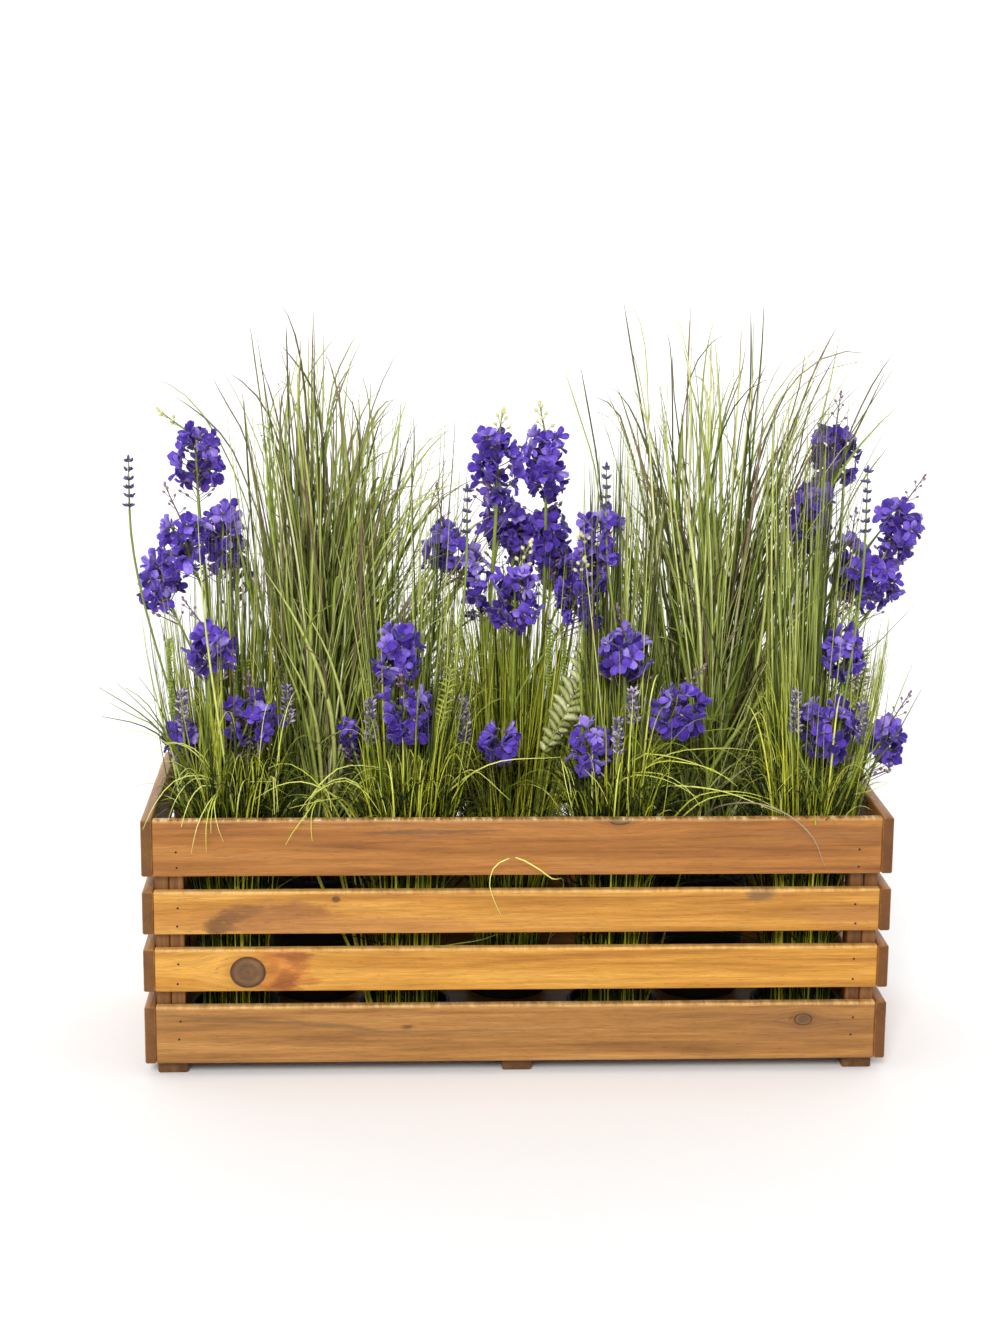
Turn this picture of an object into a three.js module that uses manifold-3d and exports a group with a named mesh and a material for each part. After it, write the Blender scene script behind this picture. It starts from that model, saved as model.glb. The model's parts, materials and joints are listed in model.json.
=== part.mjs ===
// A planted window box: a long slatted acacia box with tall grasses, bright tufts, violet-blue flower
// sprays, lavender and ferns in black pots. Millimetres, +Z up, front towards -Y.
// The origin is the middle of the box's footprint, on the surface that it stands on.
import * as THREE from 'three';
import { mergeVertices } from 'three/addons/utils/BufferGeometryUtils.js';
import Module from 'manifold-3d';

// ---- driving dimensions: the box ----
const BOX_LENGTH = 800;
const BOX_DEPTH = 300;
const BOARD = 12; // thickness of every slat and end board
const SLAT_HEIGHTS = [64.5, 47.5, 47.5, 62]; // from the lowest row to the rim
const FOOT_HEIGHT = 15; // from the ground to the lowest slat
const SLAT_SPACING = 16.5;
const EDGE_RADIUS = 2.2; // rounding along the boards' edges
const JOINT_GAP = 0.3; // between pieces that touch
const BATTEN = 15.7; // width of a corner batten, seen between the slats
const BATTEN_DEPTH = 30;
const BATTEN_TOP = 276;
const BEARER_WIDTH = 32;
const BEARER_HEIGHT = 20;
const BEARER_RADIUS = 4; // rounded lower edges of the feet
const FLOOR_BOARD = 10;
const FLOOR_WIDTH = 84;
const FLOOR_SPACING = 7;
const FLOOR_COUNT = 3;

// ---- driving dimensions: pots and root plugs ----
const POT_SIDES = 10;
const POT_WALL = 2;
const POT_LIP = 1.5;
const LOW_POT = { radius: 48, foot: 45, height: 32, fill: 25 };
const TALL_POT = { radius: 57, foot: 46, height: 146, fill: 136 };
const STEM_HOLE = 3.2; // radius of the plain hole that a spray's stem stands in
const STEM_RING = 37.5; // distance of those holes from the pot's axis
const STEM_SEAT = 20; // depth of the hole

// ---- driving dimensions: plants ----
const BLADE_THICK = 1.1;
const SINK = 5; // how far a blade's root goes into its plug
const TALL_ROOTS = 44; // radius of the patch that the blades grow from
const TUFT_ROOTS = 30;
const NEAR_REACH = 70; // a tuft's blade that ends this near its axis is nearly straight
const UPRIGHT = 215; // height up to which a stem runs straight beside its tuft
const CLEAR = 0.5; // space kept between two plants
const TALL_BLADES = 44;
const TUFT_BLADES = 22;
const STEM_RADIUS = 2.3;
const BRANCH_RADIUS = 1.8;
const FLORET = 15.5; // radius of a five-petalled floret
const NOTCH = 0.62; // where two petals part, as a share of the floret's radius
const RING_TILT = 0.42; // how far the upper ring of florets looks up, in radians
const TOPPED_WIDTH = 53; // a head this wide has a floret on its top
const LAVENDER_RADIUS = 5;
const TWIG_REACH = 34; // how far a twig of buds stands above its head
const OWN_SPACE = 0.2; // space kept between two blades of one clump

// Pots stand in two rows: x, y of each axis.
const TUFT_POTS = {
  left: [-305, -84],
  mid_left: [-121, -84],
  centre: [-3, 48],
  mid_right: [107, -84],
  right: [311, -84],
};
const TALL_POTS = {
  left: [-221, 45],
  right: [217, 45],
};

// Flower sprays: the pot and the angle of the hole that the stem stands in, and each head's
// middle with its width and height.
const SPRAYS = {
  flowers_left_tall: {
    pot: 'left',
    angle: 100,
    heads: [
      [-350, 20, 650, 60, 68],
      [-362, -40, 561, 50, 74],
      [-322, 30, 556, 46, 68],
      [-390, 20, 508, 54, 68],
      [-302, 62, 520, 36, 70],
    ],
  },
  flowers_left_low: {
    pot: 'left',
    angle: 205,
    heads: [
      [-329, -70, 454, 53, 58],
      [-286, -70, 373, 56, 60],
      [-366, -50, 343, 40, 54],
    ],
  },
  flowers_centre_left: {
    pot: 'centre',
    angle: 190,
    heads: [
      [-18, -10, 650, 50, 74],
      [-12, 62, 564, 48, 60],
      [-77, 10, 554, 48, 60],
      [-45, 52, 512, 32, 60],
    ],
  },
  flowers_centre_right: {
    pot: 'centre',
    angle: 10,
    heads: [
      [34, 12, 644, 46, 82],
      [42, 16, 558, 42, 62],
      [82, 34, 524, 44, 48],
      [98, 42, 572, 56, 56],
    ],
  },
  flowers_centre_front: {
    pot: 'centre',
    angle: 270,
    heads: [
      [-4, -42, 500, 56, 72],
      [69, -6, 488, 54, 54],
      [-15, -72, 346, 50, 52],
    ],
  },
  flowers_mid_left: {
    pot: 'mid_left',
    angle: 150,
    heads: [
      [-130, -60, 450, 50, 62],
      [-121, -82, 378, 56, 58],
      [-179, -34, 346, 34, 50],
    ],
  },
  flowers_mid_right: {
    pot: 'mid_right',
    angle: 60,
    heads: [
      [113, -60, 444, 58, 52],
      [173, -80, 387, 60, 58],
      [78, -90, 349, 44, 62],
    ],
  },
  flowers_right_tall: {
    pot: 'right',
    angle: 75,
    heads: [
      [360, 60, 651, 56, 76],
      [340, 92, 570, 40, 66],
      [427, 0, 575, 54, 68],
      [379, 42, 530, 34, 70],
      [400, 0, 511, 56, 56],
    ],
  },
  flowers_right_low: {
    pot: 'right',
    angle: 0,
    heads: [
      [361, -40, 448, 54, 54],
      [336, -82, 368, 60, 60],
      [404, -62, 353, 46, 60],
    ],
  },
};

// Lavender: each sprig's tip, the length of its flower spike and its whorls.
const LAVENDERS = {
  lavender_left: {
    pot: 'left',
    angle: 150,
    sprigs: [
      [-420, -10, 648, 58, 5],
      [-367, -84, 411, 42, 4],
      [-249, -34, 406, 42, 4],
    ],
  },
  lavender_mid_left: {
    pot: 'mid_left',
    angle: 20,
    sprigs: [
      [-45, -36, 642, 64, 5],
      [-58, -84, 402, 50, 4],
      [-158, -92, 404, 50, 4],
    ],
  },
  lavender_mid_right: {
    pot: 'mid_right',
    angle: 0,
    sprigs: [
      [112, -20, 637, 50, 5],
      [127, -112, 404, 54, 4],
    ],
  },
  lavender_right: {
    pot: 'right',
    angle: 300,
    sprigs: [
      [389, -40, 638, 60, 5],
      [311, -118, 408, 46, 4],
      [377, -104, 394, 46, 4],
    ],
  },
};

// Ferns: the base of the frond, its tip, the frond's half width and its pairs of leaflets.
const FERNS = {
  fern_centre: {
    pot: 'centre',
    angle: 318,
    base: [32, -30, 328],
    tip: [86, 0, 432],
    halfWidth: 20,
    pairs: 10,
  },
  fern_small: {
    pot: 'mid_left',
    angle: 300,
    base: [-84, -118, 350],
    tip: [-72, -122, 436],
    halfWidth: 9,
    pairs: 6,
  },
  fern_right: {
    pot: 'right',
    angle: 110,
    base: [384, 4, 364],
    tip: [388, 6, 436],
    halfWidth: 10,
    pairs: 6,
  },
};

// Long blades that give the planting its outline: the clump or tuft, and the tip.
const LEADING_BLADES = {
  grass_tall_left: [
    [-249, 5, 819],
    [-336, 90, 760],
    [-289, 10, 800],
    [-219, 60, 805],
    [-192, 90, 760],
    [-167, 40, 785],
    [-131, 60, 768],
    [-408, 90, 728],
  ],
  grass_tall_right: [
    [117, 15, 826],
    [280, 90, 828],
    [155, 20, 821],
    [193, 60, 819],
    [232, 100, 800],
    [371, 120, 794],
    [440, 130, 759],
    [55, 90, 739],
  ],
  tuft_left: [
    [-462, -60, 417],
    [-450, -90, 372],
  ],
  tuft_right: [
    [447, -70, 424],
    [428, -40, 330],
  ],
};

const COLOURS = {
  wood: 0xc58a4c,
  bearer: 0x9a6a3c,
  pot: 0x17181a,
  tallGrass: 0x5d7338,
  tuft: 0x8fae2c,
  flower: 0x4a2fa6,
  lavender: 0x7d74ad,
  fern: 0x8fb35c,
};

// ---- derived sizes of the box ----
const slatRows = [];
SLAT_HEIGHTS.reduce((bottom, height) => {
  slatRows.push({ bottom, height });
  return bottom + height + SLAT_SPACING;
}, FOOT_HEIGHT);
const RIM = slatRows.at(-1).bottom + slatRows.at(-1).height;
const INNER_X = BOX_LENGTH / 2 - BOARD; // inner faces of the end boards
const INNER_Y = BOX_DEPTH / 2 - BOARD; // inner faces of the long slats
const FLOOR_TOP = BEARER_HEIGHT + JOINT_GAP + FLOOR_BOARD;
const POT_BASE = FLOOR_TOP + JOINT_GAP;

const wasm = await Module();
wasm.setup();
const box = new THREE.Group();

// ---- seeded random numbers ----
function randomFrom(seed) {
  let state = seed;
  return () => {
    state = (state + 0x6d2b79f5) | 0;
    let t = Math.imul(state ^ (state >>> 15), 1 | state);
    t = (t + Math.imul(t ^ (t >>> 7), 61 | t)) ^ t;
    return ((t ^ (t >>> 14)) >>> 0) / 4294967296;
  };
}
const degrees = THREE.MathUtils.degToRad;
const vector = (x, y, z) => new THREE.Vector3(x, y, z);

// ---- solids ----

// A geometry as a solid: shared vertices merged, collapsed faces dropped, faces out.
function solid(geometry) {
  const bare = geometry.clone();
  bare.deleteAttribute('normal');
  bare.deleteAttribute('uv');
  const merged = mergeVertices(bare, 1e-4);
  const index = merged.index.array;
  const kept = [];
  for (let i = 0; i < index.length; i += 3) {
    const [a, b, c] = [index[i], index[i + 1], index[i + 2]];
    if (a !== b && b !== c && a !== c) kept.push(a, b, c);
  }
  const vertProperties = Float32Array.from(merged.attributes.position.array);
  const make = (faces) =>
    new wasm.Manifold(new wasm.Mesh({ numProp: 3, vertProperties, triVerts: Uint32Array.from(faces) }));
  const made = make(kept);
  return made.volume() > 0 ? made : make(kept.reverse());
}

// The largest body of a solid as a geometry: sealed hollows are filled and loose scraps dropped.
function geometryOf(whole) {
  const bodies = whole.decompose();
  bodies.sort((a, b) => b.volume() - a.volume());
  const mesh = bodies[0].getMesh();
  const geometry = new THREE.BufferGeometry();
  geometry.setAttribute('position', new THREE.BufferAttribute(mesh.vertProperties, 3));
  geometry.setIndex(new THREE.BufferAttribute(mesh.triVerts, 1));
  return geometry;
}

// Several solids fused into one.
function fuse(solids) {
  let joined = solids;
  while (joined.length > 1) {
    const next = [];
    for (let i = 0; i < joined.length; i += 2) {
      next.push(i + 1 < joined.length ? joined[i].add(joined[i + 1]) : joined[i]);
    }
    joined = next;
  }
  return joined[0];
}

// A closed skin over rings of points: each ring has as many points as the others, and a ring
// of one point closes the skin to a tip.
function skin(rings) {
  const positions = [];
  const starts = [];
  for (const ring of rings) {
    starts.push(positions.length / 3);
    for (const point of ring) positions.push(point.x, point.y, point.z);
  }
  const faces = [];
  for (let r = 0; r + 1 < rings.length; r++) {
    const lower = rings[r];
    const upper = rings[r + 1];
    const sides = Math.max(lower.length, upper.length);
    for (let s = 0; s < sides; s++) {
      const t = (s + 1) % sides;
      const a = starts[r] + (lower.length > 1 ? s : 0);
      const b = starts[r] + (lower.length > 1 ? t : 0);
      const c = starts[r + 1] + (upper.length > 1 ? t : 0);
      const d = starts[r + 1] + (upper.length > 1 ? s : 0);
      if (lower.length > 1) faces.push(a, b, c);
      if (upper.length > 1) faces.push(a, c, d);
    }
  }
  const cap = (start, count, flip) => {
    for (let s = 1; s + 1 < count; s++) {
      faces.push(start, start + (flip ? s + 1 : s), start + (flip ? s : s + 1));
    }
  };
  cap(starts[0], rings[0].length, true);
  cap(starts.at(-1), rings.at(-1).length, false);
  const geometry = new THREE.BufferGeometry();
  geometry.setAttribute('position', new THREE.Float32BufferAttribute(positions, 3));
  geometry.setIndex(faces);
  return geometry;
}

// Adds a named piece to the box.
function place(name, geometry, colour, position = [0, 0, 0], rotation = [0, 0, 0]) {
  const material = new THREE.MeshStandardMaterial({ color: colour, roughness: 0.6, metalness: 0 });
  const mesh = new THREE.Mesh(geometry, material);
  mesh.name = name;
  mesh.position.set(...position);
  mesh.rotation.set(...rotation);
  box.add(mesh);
}

// ---- wood ----

// A board along X with its long edges rounded: its section is thickness (Y) by height (Z).
// Only the lower edges are rounded where lowerOnly is set.
function board(length, thickness, height, radius, lowerOnly = false) {
  const [w, h] = [thickness / 2, height / 2];
  const top = lowerOnly ? 0 : radius;
  const section = new THREE.Shape();
  section.moveTo(-w + radius, -h);
  section.lineTo(w - radius, -h);
  section.absarc(w - radius, -h + radius, radius, -Math.PI / 2, 0);
  section.lineTo(w, h - top);
  if (top) section.absarc(w - top, h - top, top, 0, Math.PI / 2);
  section.lineTo(-w + top, h);
  if (top) section.absarc(-w + top, h - top, top, Math.PI / 2, Math.PI);
  section.lineTo(-w, -h + radius);
  section.absarc(-w + radius, -h + radius, radius, Math.PI, 1.5 * Math.PI);
  const geometry = new THREE.ExtrudeGeometry(section, { depth: length, bevelEnabled: false, curveSegments: 1 });
  const turn = new THREE.Matrix4().set(0, 0, 1, -length / 2, 1, 0, 0, 0, 0, 1, 0, 0, 0, 0, 0, 1);
  geometry.applyMatrix4(turn);
  return geometryOf(solid(geometry));
}

function addSlats() {
  const slatLength = 2 * (INNER_X - JOINT_GAP);
  const slatY = BOX_DEPTH / 2 - BOARD / 2;
  const endX = BOX_LENGTH / 2 - BOARD / 2;
  slatRows.forEach(({ bottom, height }, row) => {
    const z = bottom + height / 2;
    const slat = board(slatLength, BOARD, height, EDGE_RADIUS);
    const end = board(BOX_DEPTH, BOARD, height, EDGE_RADIUS);
    place(`slat_front_${row + 1}`, slat, COLOURS.wood, [0, -slatY, z]);
    place(`slat_back_${row + 1}`, slat, COLOURS.wood, [0, slatY, z]);
    place(`end_board_left_${row + 1}`, end, COLOURS.wood, [-endX, 0, z], [0, 0, Math.PI / 2]);
    place(`end_board_right_${row + 1}`, end, COLOURS.wood, [endX, 0, z], [0, 0, Math.PI / 2]);
  });
}

// Two upright battens stand on the bearer in each corner, one for the end boards, one for the slats.
function addBattens() {
  const bottom = BEARER_HEIGHT + JOINT_GAP;
  const height = BATTEN_TOP - bottom;
  const standing = new THREE.Matrix4().set(0, 1, 0, 0, 0, 0, 1, 0, 1, 0, 0, 0, 0, 0, 0, 1);
  const batten = board(height, BATTEN - JOINT_GAP, BATTEN_DEPTH, EDGE_RADIUS / 2);
  batten.applyMatrix4(standing);
  const y = INNER_Y - JOINT_GAP - BATTEN_DEPTH / 2;
  const outerX = INNER_X - JOINT_GAP - (BATTEN - JOINT_GAP) / 2;
  for (const [side, sx] of [['left', -1], ['right', 1]]) {
    for (const [face, sy] of [['front', -1], ['back', 1]]) {
      ['end', 'slat'].forEach((kind, i) => {
        const x = sx * (outerX - i * BATTEN);
        place(`batten_${face}_${side}_${kind}`, batten, COLOURS.wood, [x, sy * y, bottom + height / 2]);
      });
    }
  }
}

// A rectangular block as a solid, for cuts.
function block(sx, sy, sz, x, y, z) {
  return solid(new THREE.BoxGeometry(sx, sy, sz).translate(x, y, z));
}

// Three bearers run front to back and are the feet. The floor boards lie on them, and the outer
// ones are cut out round the corner battens.
function addFloor() {
  const bearerLength = 2 * (INNER_Y - JOINT_GAP);
  const bearer = board(bearerLength, BEARER_WIDTH, BEARER_HEIGHT, BEARER_RADIUS, true);
  const endX = INNER_X - JOINT_GAP - BEARER_WIDTH / 2;
  for (const [side, x] of [['left', -endX], ['middle', 0], ['right', endX]]) {
    place(`bearer_${side}`, bearer, COLOURS.bearer, [x, 0, BEARER_HEIGHT / 2], [0, 0, Math.PI / 2]);
  }
  const length = 2 * (INNER_X - JOINT_GAP);
  const pitch = FLOOR_WIDTH + FLOOR_SPACING;
  const z = BEARER_HEIGHT + JOINT_GAP + FLOOR_BOARD / 2;
  const cutX = 2 * BATTEN + JOINT_GAP;
  const cutY = BATTEN_DEPTH + JOINT_GAP;
  for (let i = 0; i < FLOOR_COUNT; i++) {
    const y = (i - (FLOOR_COUNT - 1) / 2) * pitch;
    let plank = solid(board(length, FLOOR_WIDTH, FLOOR_BOARD, 1).translate(0, y, z));
    for (const sx of [-1, 1]) {
      for (const sy of [-1, 1]) {
        const x = sx * (INNER_X - JOINT_GAP);
        const cornerY = sy * (INNER_Y - JOINT_GAP);
        plank = plank.subtract(block(2 * cutX, 2 * cutY, 2 * FLOOR_BOARD, x, cornerY, z));
      }
    }
    place(`floor_board_${i + 1}`, geometryOf(plank), COLOURS.wood);
  }
}

// ---- pots and plugs ----

// A turned body: its outline runs from the axis to the axis, as [radius, height] pairs.
function turned(outline, sides = POT_SIDES) {
  const points = outline.map(([r, h]) => new THREE.Vector2(r, h));
  return solid(new THREE.LatheGeometry(points, sides).rotateX(Math.PI / 2));
}

// A black pot: a tapered cup with a lip round its mouth.
function pot(size) {
  const lipHeight = 3 * POT_LIP;
  const wallAt = (h) => size.foot + ((size.radius - size.foot) * h) / size.height;
  return geometryOf(
    turned([
      [0, 0],
      [size.foot, 0],
      [wallAt(size.height - lipHeight), size.height - lipHeight],
      [size.radius + POT_LIP, size.height - lipHeight],
      [size.radius + POT_LIP, size.height],
      [size.radius - POT_WALL, size.height],
      [size.foot - POT_WALL, POT_WALL],
      [0, POT_WALL],
    ]),
  );
}

// The cast plug that fills a pot, with its axis on the origin.
function plug(size) {
  const low = POT_WALL + JOINT_GAP;
  const slope = (size.radius - size.foot) / size.height;
  const radiusAt = (h) => size.foot - POT_WALL - 2 * JOINT_GAP + slope * (h - POT_WALL);
  return turned([
    [0, low],
    [radiusAt(low), low],
    [radiusAt(size.fill), size.fill],
    [0, size.fill],
  ]);
}

// Where a spray's stem stands in a tuft's plug.
function holeOf({ pot: name, angle }) {
  const [x, y] = TUFT_POTS[name];
  return [x + STEM_RING * Math.cos(degrees(angle)), y + STEM_RING * Math.sin(degrees(angle))];
}

// ---- space taken by each plant ----

// Each length of stem, blade or head is kept as a capsule with its plant's name.
const taken = [];

function take(name, points, radius) {
  for (let i = 0; i + 1 < points.length; i++) {
    const [a, b] = [points[i], points[i + 1]];
    const middle = a.clone().add(b).multiplyScalar(0.5);
    taken.push({ name, a, b, middle, reach: a.distanceTo(b) / 2 + radius, radius });
  }
}

// The shortest distance between two straight lengths.
function lengthGap(p1, q1, p2, q2) {
  const d1 = q1.clone().sub(p1);
  const d2 = q2.clone().sub(p2);
  const r = p1.clone().sub(p2);
  const a = Math.max(d1.lengthSq(), 1e-9);
  const e = Math.max(d2.lengthSq(), 1e-9);
  const [b, c, f] = [d1.dot(d2), d1.dot(r), d2.dot(r)];
  const clamp = (value) => Math.min(1, Math.max(0, value));
  const spread = a * e - b * b;
  const s0 = spread > 1e-9 ? clamp((b * f - c * e) / spread) : 0;
  const t = clamp((b * s0 + f) / e);
  const s = clamp((b * t - c) / a);
  return p1.clone().addScaledVector(d1, s).distanceTo(p2.clone().addScaledVector(d2, t));
}

// Whether a run of points stays clear of every other plant, and of its own where own is set.
function isClear(name, points, radius, own = 0) {
  for (let i = 0; i + 1 < points.length; i++) {
    const [a, b] = [points[i], points[i + 1]];
    const middle = a.clone().add(b).multiplyScalar(0.5);
    const reach = a.distanceTo(b) / 2 + radius;
    for (const other of taken) {
      const room = other.name === name ? own : CLEAR;
      if (!room || middle.distanceTo(other.middle) > reach + other.reach + room) continue;
      if (lengthGap(a, b, other.a, other.b) < radius + other.radius + room) return false;
    }
  }
  return true;
}

// Whether a point stays off the boards, battens and pots by the given room.
function isOffBox(point, room, ownPot) {
  const [x, y] = [Math.abs(point.x), Math.abs(point.y)];
  const inWallX = x > INNER_X - room && x < BOX_LENGTH / 2 + room && y < BOX_DEPTH / 2 + room;
  const inWallY = y > INNER_Y - room && y < BOX_DEPTH / 2 + room && x < BOX_LENGTH / 2 + room;
  if (point.z < RIM + room && (inWallX || inWallY)) return false;
  const inCorner = x > INNER_X - 2 * BATTEN - room && y > INNER_Y - BATTEN_DEPTH - room;
  const inside = x < INNER_X && y < INNER_Y;
  if (point.z < BATTEN_TOP + room && inCorner && inside) return false;
  const pots = [[TUFT_POTS, LOW_POT], [TALL_POTS, TALL_POT]];
  for (const [places, size] of pots) {
    if (point.z > POT_BASE + size.height + room) continue;
    for (const [px, py] of Object.values(places)) {
      if (ownPot && px === ownPot[0] && py === ownPot[1]) continue;
      if (Math.hypot(point.x - px, point.y - py) < size.radius + POT_LIP + room) return false;
    }
  }
  return true;
}

function runIsOffBox(points, room, ownPot) {
  const steps = 24;
  for (let i = 0; i + 1 < points.length; i++) {
    for (let s = 0; s <= steps; s++) {
      if (!isOffBox(points[i].clone().lerp(points[i + 1], s / steps), room, ownPot)) return false;
    }
  }
  return true;
}

// ---- stems, blades and florets ----

// A tube of few sides along a run of points, its radius given at each one.
function tube(points, radii, sides = 4, spin = 0) {
  const rings = points.map((point, i) => {
    if (radii[i] === 0) return [point];
    const before = points[Math.max(0, i - 1)];
    const after = points[Math.min(points.length - 1, i + 1)];
    const along = after.clone().sub(before).normalize();
    const across = new THREE.Vector3(1, 0, 0).addScaledVector(along, -along.x).normalize();
    const third = along.clone().cross(across);
    return Array.from({ length: sides }, (_, s) => {
      const angle = (2 * Math.PI * s) / sides + spin * (i % 2);
      return point
        .clone()
        .addScaledVector(across, radii[i] * Math.cos(angle))
        .addScaledVector(third, radii[i] * Math.sin(angle));
    });
  });
  return solid(skin(rings));
}

// A keeled blade along a run of points that ends in a tip: three-sided, its flat side up.
function blade(points, width) {
  const [root, tip] = [points[0], points.at(-1)];
  const away = vector(tip.x - root.x, tip.y - root.y, 0);
  if (away.lengthSq() < 1) away.set(1, 0, 0);
  const across = vector(-away.y, away.x, 0).normalize();
  const taper = [1, 0.95, 0.85, 0.6];
  const rings = points.map((point, i) => {
    if (i === points.length - 1) return [point];
    const before = points[Math.max(0, i - 1)];
    const along = points[i + 1].clone().sub(before).normalize();
    const keel = across.clone().cross(along).normalize();
    const share = taper[Math.min(taper.length - 1, Math.round((i * taper.length) / points.length))];
    const half = (width * share) / 2;
    return [
      point.clone().addScaledVector(across, -half),
      point.clone().addScaledVector(across, half),
      point.clone().addScaledVector(keel, BLADE_THICK * Math.max(share, 0.7)),
    ];
  });
  return solid(skin(rings));
}

// Points along a blade's arc: upright out of its root, then over towards its tip.
function arc(root, rise, crest, tip, shares) {
  const curve = new THREE.CubicBezierCurve3(root, rise, crest, tip);
  return shares.map((share) => curve.getPoint(share));
}

// Adds a five-petalled floret to a head's net: a dished star that opens out of a three-cornered
// patch of the core. The net holds points and faces, and corners are the patch's point numbers.
function openFloret(net, corners, centre, outward, radius, spin) {
  const side = new THREE.Vector3(0, 0, 1).cross(outward);
  if (side.lengthSq() < 0.01) side.set(1, 0, 0);
  side.normalize();
  const up = outward.clone().cross(side);
  const angleOf = (point) => {
    const arm = point.clone().sub(centre);
    return Math.atan2(arm.dot(up), arm.dot(side));
  };
  const throat = net.points.push(centre.clone().addScaledVector(outward, -0.15 * radius)) - 1;
  const rim = Array.from({ length: 10 }, (_, i) => {
    const notch = i % 2 === 1;
    const reach = radius * (notch ? NOTCH : 1);
    const angle = (Math.PI * i) / 5 + spin;
    const point = centre
      .clone()
      .addScaledVector(side, reach * Math.cos(angle))
      .addScaledVector(up, reach * Math.sin(angle))
      .addScaledVector(outward, notch ? 0 : -0.08 * radius);
    return net.points.push(point) - 1;
  });
  // Each length of the rim is joined to the patch's corner that it faces.
  const turn = 2 * Math.PI;
  const nearest = (angle) => {
    const gaps = corners.map((corner) => {
      const gap = Math.abs(angleOf(net.points[corner]) - angle) % turn;
      return Math.min(gap, turn - gap);
    });
    return gaps.indexOf(Math.min(...gaps));
  };
  const faced = rim.map((_, i) => nearest((Math.PI * (i + 0.5)) / 5 + spin));
  rim.forEach((point, i) => {
    const next = rim[(i + 1) % rim.length];
    const [corner, nextCorner] = [corners[faced[i]], corners[faced[(i + 1) % rim.length]]];
    net.faces.push(throat, point, next);
    net.faces.push(next, point, corner);
    if (corner !== nextCorner) net.faces.push(next, corner, nextCorner);
  });
}

// A flower head: six florets stand round a three-cornered core in two staggered rings, and one
// on its top where the head is wide. The core's lowest face is left for the stem.
function head(middle, width, height, random) {
  const net = { points: [], faces: [] };
  const start = random() * 2 * Math.PI;
  const coreReach = 0.15 * width;
  const coreRise = 0.14 * height;
  const around = (angle, reach, z) => vector(reach * Math.cos(angle), reach * Math.sin(angle), z).add(middle);
  const corner = (step, z) => net.points.push(around(start + (step * Math.PI) / 3, coreReach, z)) - 1;
  const upper = [0, 2, 4].map((step) => corner(step, coreRise));
  const lower = [1, 3, 5].map((step) => corner(step, -coreRise));
  const radius = Math.min(FLORET, 0.29 * width);
  const reach = width / 2 - 0.34 * radius;
  const opened = (corners, angle, z, tilt) => {
    const facing = vector(Math.cos(angle) * Math.cos(tilt), Math.sin(angle) * Math.cos(tilt), Math.sin(tilt));
    const centre = around(angle, reach * Math.cos(tilt), z);
    openFloret(net, corners, centre, facing, radius, random() * 0.5);
  };
  for (let i = 0; i < 3; i++) {
    const [u, nextU] = [upper[i], upper[(i + 1) % 3]];
    const [l, nextL] = [lower[i], lower[(i + 1) % 3]];
    opened([u, l, nextU], start + ((2 * i + 1) * Math.PI) / 3, 0.2 * height, RING_TILT);
    opened([l, nextL, nextU], start + ((2 * i + 2) * Math.PI) / 3, -0.2 * height, -RING_TILT / 2);
  }
  if (width >= TOPPED_WIDTH) {
    const top = middle.clone().add(vector(0, 0, height / 2 - 1));
    openFloret(net, upper, top, vector(0, 0, 1), 0.6 * radius, start);
  } else {
    net.faces.push(...upper);
  }
  net.faces.push(lower[2], lower[1], lower[0]);
  const geometry = new THREE.BufferGeometry();
  const positions = net.points.flatMap((point) => point.toArray());
  geometry.setAttribute('position', new THREE.Float32BufferAttribute(positions, 3));
  geometry.setIndex(net.faces);
  return solid(geometry);
}

// A twig of small buds that stands out of a head's top.
function budTwig(from, tip, buds) {
  const points = [];
  const radii = [];
  const last = 2 * buds + 1;
  for (let i = 0; i <= last; i++) {
    points.push(from.clone().lerp(tip, i / last));
    radii.push(i === last ? 0 : i % 2 ? 0.9 : 2.4 - 0.2 * i);
  }
  radii[0] = 1;
  return tube(points, radii, 3, Math.PI / 3);
}

// A flat plate over a net of points, as thick each way as given, along Y.
function plate(points, triangles, thickness) {
  const count = points.length;
  const positions = [];
  for (const side of [-1, 1]) {
    for (const p of points) positions.push(p.x, p.y + (side * thickness) / 2, p.z);
  }
  const faces = [];
  const open = new Map();
  for (const [a, b, c] of triangles) {
    faces.push(a, b, c, count + a, count + c, count + b);
    for (const [from, to] of [[a, b], [b, c], [c, a]]) {
      if (!open.delete(`${to} ${from}`)) open.set(`${from} ${to}`, [from, to]);
    }
  }
  for (const [from, to] of open.values()) {
    faces.push(to, from, count + from, to, count + from, count + to);
  }
  const geometry = new THREE.BufferGeometry();
  geometry.setAttribute('position', new THREE.Float32BufferAttribute(positions, 3));
  geometry.setIndex(faces);
  return solid(geometry);
}

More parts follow.
